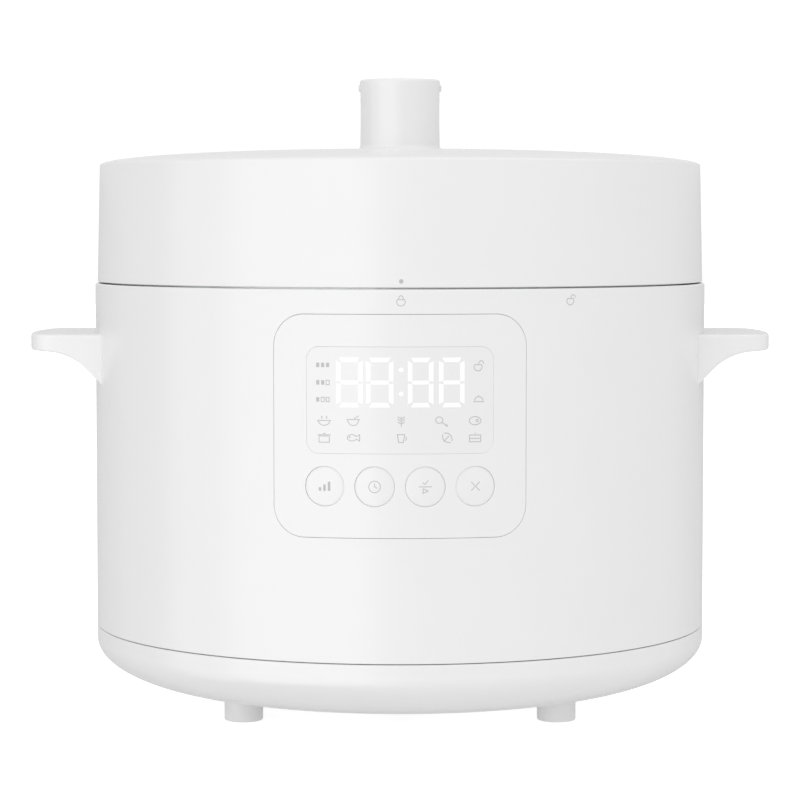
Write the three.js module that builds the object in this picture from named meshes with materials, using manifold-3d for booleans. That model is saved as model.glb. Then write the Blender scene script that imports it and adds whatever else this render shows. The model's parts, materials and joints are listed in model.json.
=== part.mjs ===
// Electric pressure cooker, about five litres.
// Millimetres, +Z up. The floor is z = 0, the body axis is the Z axis and the front faces -Y.
import * as THREE from 'three';
import { mergeVertices } from 'three/addons/utils/BufferGeometryUtils.js';
import Module from 'manifold-3d';

const wasm = await Module();
wasm.setup();

// ---------- driving dimensions ----------
const GAP = 0.3; // clearance between neighbouring pieces
const ROUND = 40; // facets round the big shells
const ROUND_MID = 24; // facets round palm-sized pieces
const ROUND_SMALL = 12; // facets round screws and pins

const BODY_R = 136.5;
const WALL = 2.5; // moulded wall thickness
const BASE_Z = 6.9; // underside of the base shell
const BASE_FLAT_R = 82.5;
const BASE_CURVE_TOP = 28.5;
const BASE_STEPS = 5; // facets along its curve
const LOWER_SEAM = 34.5; // middle of the groove between base and housing
const HOUSING_TOP = 186.9;

const LID_BOTTOM = 187.5;
const LID_BOTTOM_R = 135.45;
const LID_RIM = 239.1; // where the side wall turns into the dome
const LID_RIM_R = 134.2;
const LID_RISE = 7.1; // height of the dome over its rim
const LID_TOP = LID_RIM + LID_RISE;

const KNOB_R = 17.85;
const KNOB_WAIST_R = 17.68;
const KNOB_TOP_R = 18.1;
const KNOB_TOP = 277.5;
const KNOB_BORE_R = 14.8;
const KNOB_FLOOR = 252;
const PRESS_TRAVEL = 3; // release button
const TAB = { half: 1.6, low: 272.4, high: 275, out: 18.6 }; // on each side of the release button

const HANDLE_TOP = 164.9;
const HANDLE_HALF = 39.6; // half of its width, along Y
const HANDLE_TIP_R = 165; // its outer edge is concentric with the body
const HANDLE_CORNER = 10;
const HANDLE_WALL = 3;
const HANDLE_SCREW_Z = 157.5;

const FOOT_R = 8.3;
const FOOT_OFFSET = 67.3; // of each foot, along X and along Y

// Outlines on the cylinder: half length measured along the arc, heights, corner radius.
const PANEL = { half: 52.6, low: 86.2, high: 176.7, corner: 13 };
const WINDOW = { half: 38.35, low: 120.5, high: 163.6, corner: 5 };
const WINDOW_T = 1.5;
const BUTTON_R = 8.1;
const BUTTON_Z = 107.05;
const BUTTON_PITCH = 20.6; // along the arc
const BUTTON_TRAVEL = 0.6;
const BUTTON_SHOULDER = 129.2; // distance of the shoulder disc from the body axis
const BOARD_Y = 120; // rear face of the control board, distance in front of the axis
const BOARD_T = 1.6;
const SWITCH_FRONT = 124.1;
const BOARD_SCREW = { x: 41, z: 131 };

const POT_R = 112;
const POT_WALL = 2;
const POT_BOTTOM = 46;
const POT_TOP = 182;
const POT_RIM_R = 119;

const SHELL_R = 115.7; // steel outer pot
const SHELL_T = 1.2;
const SHELL_BOTTOM = 33;
const SHELL_FLANGE = 178.3;
const SHELL_LIP_R = 129;
const SHELL_LIP_TOP = 189.3;
const SENSOR_HOLE_R = 17;

const LUGS = 6;
const LUG_HALF = 13; // degrees
const LUG_PHASE = 30; // degrees, first lug
const LID_LUG = { inner: 120, outer: 126.5, low: 183.5, high: 186.2 };
const SHELL_LUG = { inner: 122.5, outer: 128.4, low: 186.5, high: 188.8 };

const INNER_LID_Z = 186.3; // underside of its flat rim
const INNER_LID_T = 1.5;
const INNER_LID_RISE = 17.7;
const INNER_LID_DOME_R = 100;
const SKIRT_R = 121;
const STUD_R = 110; // where the studs stand
const LINER_Z = 190.2;
const LINER_T = 3.8;
const LID_BOSS_R = 127;
const PAD_Z = 196.4; // flat pads for the valves in the domed inner lid
const PAD_TOP = 202;
const FLOAT = { x: 48, y: -28 };
const FLOAT_TRAVEL = 4;

const BASE_SCREW_R = 98;
const SUPPLY_BOARD = { x: -10, y: 10, wide: 80, deep: 54, z: 14 };
const INLET = { wide: 32, low: 40, high: 64, back: 117.5, front: 135.2 };
const SOCKET = { wide: 25, low: 43, high: 61, floor: 119.5 };

// ---------- materials ----------
const finish = (color, roughness, metalness = 0) =>
  new THREE.MeshStandardMaterial({ color, roughness, metalness });
const whiteShell = () => finish(0xf3f3f1, 0.35);
const whiteTrim = () => finish(0xe9e9e7, 0.45);
const steel = () => finish(0xb9bcbf, 0.3, 1);
const castAluminium = () => finish(0xa9acae, 0.5, 1);
const silicone = () => finish(0xd9dadb, 0.7);
const darkPlastic = () => finish(0x2b2c2e, 0.6);
const circuitGreen = () => finish(0x2f6b46, 0.6);

// ---------- geometry helpers ----------
const rad = THREE.MathUtils.degToRad;

// One closed skin: shared vertices, no zero-width triangles, faces pointing out.
function welded(geometry) {
  const bare = geometry.clone();
  bare.deleteAttribute('normal');
  bare.deleteAttribute('uv');
  const merged = mergeVertices(bare, 1e-4);
  const place = merged.getAttribute('position');
  const corner = (i) => new THREE.Vector3().fromBufferAttribute(place, i);
  const kept = [];
  let volume = 0;
  for (let i = 0; i < merged.index.count; i += 3) {
    const [a, b, c] = [0, 1, 2].map((k) => merged.index.getX(i + k));
    if (a === b || b === c || c === a) continue;
    kept.push([a, b, c]);
    volume += corner(a).dot(corner(b).cross(corner(c)));
  }
  const outward = volume < 0 ? kept.map(([a, b, c]) => [a, c, b]) : kept;
  merged.setIndex(outward.flat());
  return merged;
}

function solid(geometry) {
  const skin = welded(geometry);
  const vertProperties = new Float32Array(skin.getAttribute('position').array);
  const triVerts = new Uint32Array(skin.index.array);
  return new wasm.Manifold(new wasm.Mesh({ numProp: 3, vertProperties, triVerts }));
}

function geometryOf(body) {
  const mesh = body.getMesh();
  const geometry = new THREE.BufferGeometry();
  geometry.setAttribute('position', new THREE.BufferAttribute(mesh.vertProperties, 3));
  geometry.setIndex(new THREE.BufferAttribute(mesh.triVerts, 1));
  geometry.computeVertexNormals();
  return geometry;
}

// Turned shape from [radius, height] pairs.
function turned(profile, facets = ROUND) {
  const points = profile.map(([r, z]) => new THREE.Vector2(r, z));
  return new THREE.LatheGeometry(points, facets).rotateX(Math.PI / 2);
}

// Turned ring: the profile closes on itself.
const turnedRing = (profile, facets = ROUND) => turned([...profile, profile[0]], facets);

const tube = (inner, outer, low, high, facets = ROUND) =>
  turnedRing([[inner, low], [outer, low], [outer, high], [inner, high]], facets);

const rod = (radius, low, high, facets = ROUND_SMALL) =>
  new THREE.CylinderGeometry(radius, radius, high - low, facets)
    .rotateX(Math.PI / 2)
    .translate(0, 0, (low + high) / 2);

const block = (x0, x1, y0, y1, z0, z1) =>
  new THREE.BoxGeometry(x1 - x0, y1 - y0, z1 - z0)
    .translate((x0 + x1) / 2, (y0 + y1) / 2, (z0 + z1) / 2);

// A plan outline raised along Z.
const raised = (shape, low, high, steps = 8) =>
  new THREE.ExtrudeGeometry(shape, { depth: high - low, bevelEnabled: false, curveSegments: steps })
    .translate(0, 0, low);

// An outline drawn in X and Z, swept along Y.
const sweptAlongY = (shape, near, far, steps = 8) =>
  new THREE.ExtrudeGeometry(shape, { depth: far - near, bevelEnabled: false, curveSegments: steps })
    .rotateX(Math.PI / 2)
    .translate(0, far, 0);

const spun = (geometry, degrees) => geometry.rotateZ(rad(degrees));
const everyDegrees = (count, first = 0) =>
  Array.from({ length: count }, (_, k) => first + (360 / count) * k);

// Part of a ring in plan, between two angles in degrees.
function sector(inner, outer, from, to) {
  const shape = new THREE.Shape();
  shape.absarc(0, 0, outer, rad(from), rad(to), false);
  shape.absarc(0, 0, inner, rad(to), rad(from), true);
  return shape;
}

// A rounded rectangle wrapped on the body, seen from the front: arc length becomes X.
function wrappedOutline({ half, low, high, corner }, grow = 0) {
  const radius = corner + grow;
  const points = [];
  const corners = [[1, low, -90], [1, high, 0], [-1, high, 90], [-1, low, 180]];
  for (const [side, edge, start] of corners) {
    const centreArc = side * (half - corner);
    const centreZ = edge === low ? low + corner : high - corner;
    for (let step = 0; step <= 5; step += 1) {
      const angle = rad(start + 18 * step);
      const arc = centreArc + radius * Math.cos(angle);
      points.push(new THREE.Vector2(BODY_R * Math.sin(arc / BODY_R), centreZ + radius * Math.sin(angle)));
    }
  }
  return new THREE.Shape(points);
}

// A piece of the cylindrical wall inside a wrapped outline, on the front of the body.
function wallPatch(inner, outer, outline, grow = 0) {
  const ring = solid(tube(inner, outer, outline.low - 10, outline.high + 10));
  const front = solid(sweptAlongY(wrappedOutline(outline, grow), -BODY_R - 10, -BODY_R + 50));
  return ring.intersect(front);
}

// Quarter ellipse from the flat underside up to the vertical wall.
function baseCurve(inset, rise, steps) {
  const reach = BODY_R - BASE_FLAT_R - inset;
  const height = BASE_CURVE_TOP - BASE_Z - rise;
  return Array.from({ length: steps + 1 }, (_, k) => {
    const t = (Math.PI / 2) * (1 - k / steps);
    return [BASE_FLAT_R + reach * Math.cos(t), BASE_Z + rise + height * (1 - Math.sin(t))];
  });
}

// Half ellipse over the lid, from its rim in to a hole in the middle.
function lidDome(inset, hole, steps) {
  const reach = LID_RIM_R - inset;
  const end = Math.acos(hole / reach);
  return Array.from({ length: steps + 1 }, (_, k) => {
    const t = (end * k) / steps;
    return [reach * Math.cos(t), LID_RIM - inset + LID_RISE * Math.sin(t)];
  });
}

// Height of the domed inner lid's underside at a radius.
const innerLidUnder = (r) => INNER_LID_Z + INNER_LID_RISE * (1 - (r / INNER_LID_DOME_R) ** 2);

class Coil extends THREE.Curve {
  constructor(radius, low, high, turns) {
    super();
    Object.assign(this, { radius, low, high, turns });
  }

  getPoint(t, target = new THREE.Vector3()) {
    const angle = 2 * Math.PI * this.turns * t;
    const z = this.low + (this.high - this.low) * t;
    return target.set(this.radius * Math.cos(angle), this.radius * Math.sin(angle), z);
  }
}

function coilSpring(radius, wire, low, high, turns) {
  const section = new THREE.Shape().absarc(0, 0, wire, 0, 2 * Math.PI, false);
  const extrudePath = new Coil(radius, low + wire, high - wire, turns);
  return new THREE.ExtrudeGeometry(section, { steps: turns * 9, curveSegments: 3, extrudePath });
}

// A screw along +Z: its head ends at z = 0 and its shank goes up from there.
function screw(headR, headT, shankR, length) {
  const profile = [[0, -headT], [headR, -headT], [headR, 0], [shankR, 0], [shankR, length], [0, length]];
  return turned(profile, 8);
}

function piece(name, geometry, material, position = [0, 0, 0]) {
  const mesh = new THREE.Mesh(geometry.index ? geometry : welded(geometry), material);
  mesh.name = name;
  mesh.position.set(...position);
  return mesh;
}

// ---------- body shells ----------
function outerHousing() {
  let shell = solid(tube(BODY_R - WALL, BODY_R, LOWER_SEAM + 0.2, HOUSING_TOP));
  const opening = sweptAlongY(wrappedOutline(PANEL, GAP), -BODY_R - 10, -BODY_R + 50);
  shell = shell.subtract(solid(opening));
  const inletHole = block(
    -INLET.wide / 2 - GAP, INLET.wide / 2 + GAP, 110, 145, INLET.low - GAP, INLET.high + GAP);
  shell = shell.subtract(solid(inletHole));
  for (const side of [0, 180]) {
    const hole = spun(rod(1.9, 125, 145, 12).rotateY(Math.PI / 2).translate(0, 0, HANDLE_SCREW_Z), side);
    shell = shell.subtract(solid(hole));
  }
  return geometryOf(shell);
}

function baseShell() {
  const lipR = BODY_R - WALL - GAP;
  const lipInner = lipR - 2;
  const inside = baseCurve(BODY_R - lipInner, WALL, 3).reverse();
  let shell = solid(turned([
    [0, BASE_Z], ...baseCurve(0, 0, BASE_STEPS), [BODY_R, LOWER_SEAM - 0.2], [lipR, LOWER_SEAM - 0.2],
    [lipR, 38], [lipInner, 38], ...inside, [0, BASE_Z + WALL],
  ]));
  for (const angle of everyDegrees(3, 90)) {
    const at = (geometry) => solid(spun(geometry.translate(BASE_SCREW_R, 0, 0), angle));
    shell = shell.add(at(rod(5.5, 9, SHELL_BOTTOM - GAP)));
    shell = shell.subtract(at(rod(4.3, 0, 12)));
    shell = shell.subtract(at(rod(1.9, 0, 40, 8)));
  }
  for (const [x, y] of supplyBoardCorners()) {
    const post = turned([[0, 8], [3.5, 8], [3.5, 13.7], [1.2, 13.7], [1.2, 17], [0, 17]], 8);
    shell = shell.add(solid(post.translate(x, y, 0)));
  }
  for (const angle of everyDegrees(6, 30)) {
    shell = shell.subtract(solid(spun(block(50, 72, -1.5, 1.5, 0, 12), angle)));
  }
  for (const [x, y] of footPlaces()) {
    shell = shell.subtract(solid(rod(3.4, 0, 14, 8).translate(x, y, 0)));
  }
  return geometryOf(shell);
}

const footPlaces = () =>
  [[-1, -1], [1, -1], [1, 1], [-1, 1]].map(([x, y]) => [x * FOOT_OFFSET, y * FOOT_OFFSET]);

// A rubber foot whose top follows the curved underside, with a plug into the base.
function foot(x, y) {
  const pad = solid(turned([[0, 0], [FOOT_R - 0.8, 0], [FOOT_R, 0.8], [FOOT_R, 12], [0, 12]], 16));
  const underside = baseCurve(0, 0, BASE_STEPS).map(([r, z]) => [r, z - GAP]);
  const above = [[0, BASE_Z - GAP], ...underside, [BODY_R, 60], [0, 60]];
  const trimmed = pad.subtract(solid(turned(above).translate(-x, -y, 0)));
  return geometryOf(trimmed.add(solid(rod(3, 5, 12, 8))));
}

const rimRing = () =>
  turnedRing([
    [124, 174], [131.2, 174], [131.2, 180], [133.7, 180],
    [133.7, 186.4], [129.4, 186.4], [129.4, 178], [124, 178],
  ]);

// ---------- side handles ----------
function handlePlan(inset) {
  const half = HANDLE_HALF - inset;
  const cornerR = HANDLE_CORNER - inset;
  const cornerY = HANDLE_HALF - HANDLE_CORNER;
  const cornerX = Math.sqrt((HANDLE_TIP_R - HANDLE_CORNER) ** 2 - cornerY ** 2);
  const turn = Math.atan2(cornerY, cornerX);
  const shape = new THREE.Shape();
  shape.moveTo(120, -half);
  shape.lineTo(cornerX, -half);
  shape.absarc(cornerX, -cornerY, cornerR, -Math.PI / 2, -turn, false);
  shape.absarc(0, 0, HANDLE_TIP_R - inset, -turn, turn, false);
  shape.absarc(cornerX, cornerY, cornerR, turn, Math.PI / 2, false);
  shape.lineTo(120, half);
  return shape;
}

// Side view: a flat top over an underside that sweeps from the body out to the thin tip.
function handleSide() {
  const shape = new THREE.Shape();
  shape.moveTo(126, 138);
  shape.lineTo(136.5, 148.8);
  shape.quadraticCurveTo(142.5, 155.6, 152, 157.2);
  shape.lineTo(170, 158.5);
  shape.lineTo(170, HANDLE_TOP);
  shape.lineTo(126, HANDLE_TOP);
  return shape;
}

function handle() {
  const outer = solid(raised(handlePlan(0), 130, HANDLE_TOP, 6))
    .intersect(solid(sweptAlongY(handleSide(), -45, 45, 5)))
    .subtract(solid(rod(BODY_R + GAP, 120, 180, ROUND)));
  const hollow = solid(raised(handlePlan(HANDLE_WALL), 130, HANDLE_TOP - HANDLE_WALL, 6))
    .subtract(solid(rod(BODY_R + GAP + HANDLE_WALL, 120, 180, ROUND)));
  const boss = solid(block(138, 144.5, -7, 7, 140, HANDLE_TOP - 1)).intersect(outer);
  const bore = rod(1.9, 130, 143.5, 12).rotateY(Math.PI / 2).translate(0, 0, HANDLE_SCREW_Z);
  return outer.subtract(hollow).add(boss).subtract(solid(bore));
}

// ---------- control panel ----------
const buttonAngle = (index) => ((index - 1.5) * BUTTON_PITCH * 180) / (Math.PI * BODY_R);

// A rod along the radius that passes a button's middle, between two distances from the axis.
const radialRod = (radius, from, to, angle, facets) =>
  spun(rod(radius, from, to, facets).rotateX(Math.PI / 2).translate(0, 0, BUTTON_Z), angle);

function controlPanel() {
  const back = BODY_R - WALL - GAP;
  let panel = wallPatch(back - 1, BODY_R, PANEL);
  panel = panel.add(wallPatch(back - 2, back, PANEL, 2.5));
  for (const side of [-1, 1]) {
    const post = block(
      side * BOARD_SCREW.x - 3.2, side * BOARD_SCREW.x + 3.2, -130.5, -BOARD_Y - BOARD_T - GAP,
      BOARD_SCREW.z - 3.2, BOARD_SCREW.z + 3.2);
    panel = panel.add(solid(post).subtract(solid(tube(back - 1, 160, 100, 160))));
  }
  panel = panel.subtract(wallPatch(BODY_R - WINDOW_T - GAP, BODY_R + 5, WINDOW, GAP));
  panel = panel.subtract(wallPatch(back - 6, BODY_R + 5, WINDOW, -2.5));
  for (const side of [-1, 1]) {
    const bore = rod(1.4, 115, 128.5, 12).rotateX(Math.PI / 2);
    panel = panel.subtract(solid(bore.translate(side * BOARD_SCREW.x, 0, BOARD_SCREW.z)));
  }
  for (let index = 0; index < 4; index += 1) {
    panel = panel.subtract(solid(radialRod(BUTTON_R + GAP, 125, 145, buttonAngle(index), 20)));
  }
  return geometryOf(panel);
}

const displayWindow = () => geometryOf(wallPatch(BODY_R - WINDOW_T, BODY_R, WINDOW));

// Distance from the axis to a button's tip, so that full travel stops just short of its switch.
function buttonTip(angle) {
  const stemR = 2;
  const reach = SWITCH_FRONT + GAP + stemR * Math.abs(Math.sin(rad(angle)));
  return reach / Math.cos(rad(angle)) + BUTTON_TRAVEL;
}

// Curved cap, a shoulder behind the panel that keeps it in, and a stem to the switch.
function button(index) {
  const angle = buttonAngle(index);
  const cap = solid(radialRod(BUTTON_R, BUTTON_SHOULDER + 1, 145, angle, 20))
    .intersect(solid(rod(BODY_R, 90, 125, ROUND)));
  const shoulder = solid(radialRod(9.2, BUTTON_SHOULDER, BUTTON_SHOULDER + 1.8, angle, 12));
  const stem = solid(radialRod(2, buttonTip(angle), BUTTON_SHOULDER + 1, angle, 12));
  return geometryOf(cap.add(shoulder).add(stem));
}

// The board with a push switch soldered on it behind each button.
function controlBoard() {
  let board = solid(block(-45, 45, -BOARD_Y - BOARD_T, -BOARD_Y, 90, 172));
  for (let index = 0; index < 4; index += 1) {
    const angle = buttonAngle(index);
    const x = buttonTip(angle) * Math.sin(rad(angle));
    const can = block(x - 3, x + 3, -SWITCH_FRONT, -BOARD_Y - 0.5, BUTTON_Z - 3, BUTTON_Z + 3);
    board = board.add(solid(can));
  }
  for (const side of [-1, 1]) {
    const hole = rod(1.5, 100, 140, 12).rotateX(Math.PI / 2);
    board = board.subtract(solid(hole.translate(side * BOARD_SCREW.x, 0, BOARD_SCREW.z)));
  }
  return geometryOf(board);
}

const displayModule = () => block(-30, 30, -131, -BOARD_Y - BOARD_T - GAP, 137.5, 160.5);

// ---------- outer pot, heater and electrics ----------
function outerPot() {
  const inner = SHELL_R - SHELL_T;
  let pot = solid(turnedRing([
    [SENSOR_HOLE_R, SHELL_BOTTOM], [111, SHELL_BOTTOM], [SHELL_R, 37.5], [SHELL_R, SHELL_FLANGE],
    [SHELL_LIP_R, SHELL_FLANGE], [SHELL_LIP_R, SHELL_LIP_TOP],
    [SHELL_LIP_R - SHELL_T, SHELL_LIP_TOP], [SHELL_LIP_R - SHELL_T, SHELL_FLANGE + SHELL_T],
    [inner, SHELL_FLANGE + SHELL_T], [inner, 38], [110.5, SHELL_BOTTOM + SHELL_T],
    [SENSOR_HOLE_R, SHELL_BOTTOM + SHELL_T],
  ]));
  pot = withLugs(pot, SHELL_LUG);
  for (const angle of everyDegrees(3, 90)) {
    const hole = spun(rod(1.9, 30, 40, 8).translate(BASE_SCREW_R, 0, 0), angle);
    pot = pot.subtract(solid(hole));
  }
  return geometryOf(pot);
}

function withLugs(body, { inner, outer, low, high }) {
  let result = body;
  for (const angle of everyDegrees(LUGS, LUG_PHASE)) {
    const lug = raised(sector(inner, outer, angle - LUG_HALF, angle + LUG_HALF), low, high, 2);
    result = result.add(solid(lug));
  }
  return result;
}

const heatShield = () => tube(117.2, 118, 68, 170);

const heatingPlate = () =>
  turnedRing([
    [16, 34.5], [30, 34.5], [30, 38], [74, 38], [74, 34.5], [86, 34.5],
    [88, 36.5], [88, 44.2], [86.5, 45.7], [16, 45.7],
  ], 24);

const sensorHolder = () =>
  turned([[0, 27.5], [15.4, 27.5], [15.4, 40], [14.2, 40], [14.2, 28.9], [0, 28.9]], ROUND_MID);

const temperatureSensor = () =>
  turned([[0, 37.9], [13, 37.9], [13, 44.6], [12, 45.7], [0, 45.7]], ROUND_MID);

function pressureSwitch() {
  const can = solid(rod(13, 24, SHELL_BOTTOM - GAP, 24));
  return geometryOf(can.add(solid(block(-8, 8, -5, 5, 17, 25))));
}

function supplyBoardCorners() {
  const { x, y, wide, deep } = SUPPLY_BOARD;
  const corners = [[-1, -1], [1, -1], [1, 1], [-1, 1]];
  return corners.map(([i, j]) => [x + i * (wide / 2 - 4), y + j * (deep / 2 - 4)]);
}

// The supply board with its relay and transformer soldered on.
function supplyBoard() {
  const { x, y, wide, deep, z } = SUPPLY_BOARD;
  let board = solid(block(x - wide / 2, x + wide / 2, y - deep / 2, y + deep / 2, z, z + BOARD_T));
  board = board.add(solid(block(-42, -24, 6, 21, z + 0.5, 30)));
  board = board.add(solid(block(-2, 22, 14, 30, z + 0.5, 26.5)));
  for (const [holeX, holeY] of supplyBoardCorners()) {
    board = board.subtract(solid(rod(1.6, 0, 30, 12).translate(holeX, holeY, 0)));
  }
  return geometryOf(board);
}

// The flat cable from the control board down to the supply board.
function controlCable() {
  const x = 16;
  const route = [
    [-120.8, 89.4], [-120.8, 52], [-118, 33], [-107, 24.5], [-84, 21], [-46, 17], [-17.8, 14.8],
  ];
  const path = new THREE.CatmullRomCurve3(route.map(([y, z]) => new THREE.Vector3(x, y, z)));
  const corners = [[-6, -0.5], [6, -0.5], [6, 0.5], [-6, 0.5]];
  const section = new THREE.Shape(corners.map(([u, v]) => new THREE.Vector2(u, v)));
  return new THREE.ExtrudeGeometry(section, { steps: 24, extrudePath: path });
}

const INLET_PINS = [['live', -7, 48.4], ['neutral', 7, 48.4], ['earth', 0, 54]];
const pinBlade = (x, z, grow) =>
  block(x - 1 - grow, x + 1 + grow, 117.2 - 3 * grow, 131 + 3 * grow, z - grow, z + 4 + grow);

function powerInlet() {
  const half = INLET.wide / 2;
  let inlet = solid(block(-half, half, INLET.back, INLET.front, INLET.low, INLET.high));
  const mouth = SOCKET.wide / 2;
  inlet = inlet.subtract(solid(block(-mouth, mouth, SOCKET.floor, 140, SOCKET.low, SOCKET.high)));
  for (const [, x, z] of INLET_PINS) {
    inlet = inlet.subtract(solid(pinBlade(x, z, GAP)));
  }
  return geometryOf(inlet);
}

// ---------- inner pot and lid ----------
function innerPot() {
  const corner = 12;
  const bend = (radius, steps) =>
    Array.from({ length: steps + 1 }, (_, k) => {
      const t = (Math.PI / 2) * (k / steps);
      return [
        POT_R - corner + radius * Math.sin(t),
        POT_BOTTOM + corner - radius * Math.cos(t),
      ];
    });
  return turned([
    [0, POT_BOTTOM], ...bend(corner, 3), [POT_R, POT_TOP - 2.2], [POT_RIM_R, POT_TOP - 2.2],
    [POT_RIM_R, POT_TOP], [POT_R - POT_WALL, POT_TOP], ...bend(corner - POT_WALL, 2).reverse(),
    [0, POT_BOTTOM + POT_WALL],
  ]);
}

// Lip seal with a C-shaped section, open towards the pot.
const sealingRing = () =>
  turnedRing([
    [118, 182.3], [118, 186], [111.5, 186], [111.5, 184.9],
    [116.2, 184.9], [116.2, 183.4], [111.5, 183.4], [111.5, 182.3],
  ]);

function lidCover() {
  const hole = 6;
  let cover = solid(turnedRing([
    [LID_BOTTOM_R - WALL, LID_BOTTOM], [LID_BOTTOM_R, LID_BOTTOM],
    ...lidDome(0, hole, 5), ...lidDome(WALL, hole, 3).reverse(),
  ]));
  for (const angle of everyDegrees(3, 30)) {
    const low = LINER_Z + LINER_T + GAP;
    const boss = solid(spun(rod(4, low, 206, 12).translate(LID_BOSS_R, 0, 0), angle));
    const rib = solid(spun(block(LID_BOSS_R, 133.9, -1.5, 1.5, low, 206), angle));
    const bore = solid(spun(rod(1.9, low - 1, 204, 12).translate(LID_BOSS_R, 0, 0), angle));
    cover = cover.add(boss).add(rib).subtract(bore);
  }
  for (const [x, y] of knobScrewPlaces()) {
    cover = cover.subtract(solid(rod(1.6, LID_TOP - 5, LID_TOP + 1, 12).translate(x, y, 0)));
  }
  return geometryOf(cover);
}

const knobScrewPlaces = () =>
  everyDegrees(2).map((angle) => [11 * Math.cos(rad(angle)), 11 * Math.sin(rad(angle))]);

function lidLiner() {
  const top = LINER_Z + LINER_T;
  let liner = solid(turnedRing([
    [102.5, LINER_Z], [132.4, LINER_Z], [132.4, top], [104.5, top], [104.5, 199], [102.5, 199],
  ]));
  for (const angle of everyDegrees(3, 30)) {
    const at = (geometry, r) => solid(spun(geometry.translate(r, 0, 0), angle));
    liner = liner.subtract(at(rod(3.6, LINER_Z - 1, LINER_Z + 2.4), LID_BOSS_R));
    liner = liner.subtract(at(rod(1.9, LINER_Z, top + 1, 12), LID_BOSS_R));
    liner = liner.subtract(at(rod(2.4, LINER_Z - 1, top + 1, 12), STUD_R));
  }
  return geometryOf(liner);
}

function innerLid() {
  const hole = 4.4;
  const steps = 3;
  const radii = Array.from({ length: steps + 1 }, (_, k) => hole + ((INNER_LID_DOME_R - hole) * k) / steps);
  const under = radii.map((r) => [r, innerLidUnder(r)]);
  const over = radii.map((r) => [r, innerLidUnder(r) + INNER_LID_T]).reverse();
  let lid = solid(turnedRing([
    ...under, [SKIRT_R - INNER_LID_T, INNER_LID_Z], [SKIRT_R - INNER_LID_T, LID_LUG.low],
    [SKIRT_R, LID_LUG.low], [SKIRT_R, INNER_LID_Z + INNER_LID_T], ...over,
  ]));
  lid = withLugs(lid, LID_LUG);
  for (const angle of everyDegrees(3, 30)) {
    lid = lid.add(solid(spun(rod(2, INNER_LID_Z + 0.5, 198.5, 12).translate(STUD_R, 0, 0), angle)));
  }
  for (const [side, holeR] of [[1, 3.2], [-1, 3.8]]) {
    const at = (geometry) => solid(geometry.translate(side * FLOAT.x, side * FLOAT.y, 0));
    lid = lid.add(at(rod(8, PAD_Z, PAD_TOP))).subtract(at(rod(holeR, PAD_Z - 1, PAD_TOP + 1)));
  }
  return geometryOf(lid);
}

const hexNut = (radius, bore, low, high) =>
  geometryOf(solid(rod(radius, low, high, 6)).subtract(solid(rod(bore, low - 1, high + 1, 12))));

const exhaustPipe = () =>
  turnedRing([
    [2.2, 199.6], [4, 199.6], [4, 201.4], [8, 201.4], [8, 203.5], [4, 203.5], [4, 256], [2.2, 256],
  ], ROUND_SMALL);

// A slotted cup that keeps food out of the exhaust pipe.
function antiBlockShield() {
  const cup = turned([[0, 190], [14, 190], [14, 203.2], [12.8, 203.2], [12.8, 191.2], [0, 191.2]], 18);
  let shield = solid(cup);
  for (const angle of everyDegrees(6, 30)) {
    shield = shield.subtract(solid(spun(block(10, 16, -2, 2, 193, 200), angle)));
  }
  return geometryOf(shield);
}

// The poppet seals the pipe's lower end from inside and its rod runs up to the button.
const exhaustValve = () =>
  turned([[0, 196.5], [3.4, 196.5], [3.4, 198.6], [1.4, 199.3], [1.4, 274.1], [0, 274.1]], 12);

const floatValve = () => {
  const seat = PAD_Z - GAP - 1.7;
  const flange = seat - GAP - FLOAT_TRAVEL;
  return turned([
    [0, flange - 1.5], [5.2, flange - 1.5], [5.2, flange], [2.5, flange],
    [2.5, PAD_TOP + GAP], [4.6, PAD_TOP + GAP], [4.6, PAD_TOP + 2.3], [0, PAD_TOP + 2.3],
  ], ROUND_SMALL);
};

const floatGasket = () => tube(3, 6.5, PAD_Z - GAP - 1.7, PAD_Z - GAP, ROUND_SMALL);

const safetyPlug = () =>
  turned([
    [0, PAD_Z - 3], [6, PAD_Z - 3], [6, PAD_Z - GAP], [3.4, PAD_Z - GAP],
    [3.4, PAD_TOP + GAP], [5.2, PAD_TOP + GAP], [5.2, PAD_TOP + 2.5], [0, PAD_TOP + 2.5],
  ], ROUND_SMALL);

// ---------- knob and release button ----------
function lidKnob() {
  const foot = LID_TOP + GAP;
  let knob = solid(turnedRing([
    [5.2, foot], [19.2, foot], [KNOB_R + 0.3, foot + 0.8], [KNOB_R, foot + 1.7],
    [KNOB_WAIST_R, 262], [KNOB_TOP_R, KNOB_TOP - 1.3], [KNOB_TOP_R - 0.4, KNOB_TOP - 0.4],
    [KNOB_TOP_R - 1.3, KNOB_TOP], [KNOB_BORE_R, KNOB_TOP], [KNOB_BORE_R, KNOB_FLOOR], [5.2, KNOB_FLOOR],
  ], ROUND_MID));
  for (const side of [0, 180]) {
    const slot = block(
      13, 22, -TAB.half - GAP, TAB.half + GAP, TAB.low - PRESS_TRAVEL - GAP, TAB.high + GAP);
    knob = knob.subtract(solid(spun(slot, side)));
  }
  knob = knob.subtract(solid(block(-7, 7, 10, 22, 254, 258.5)));
  for (const [x, y] of knobScrewPlaces()) {
    knob = knob.subtract(solid(rod(1.5, foot - 1, foot + 3.6, 12).translate(x, y, 0)));
  }
  return geometryOf(knob);
}

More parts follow.
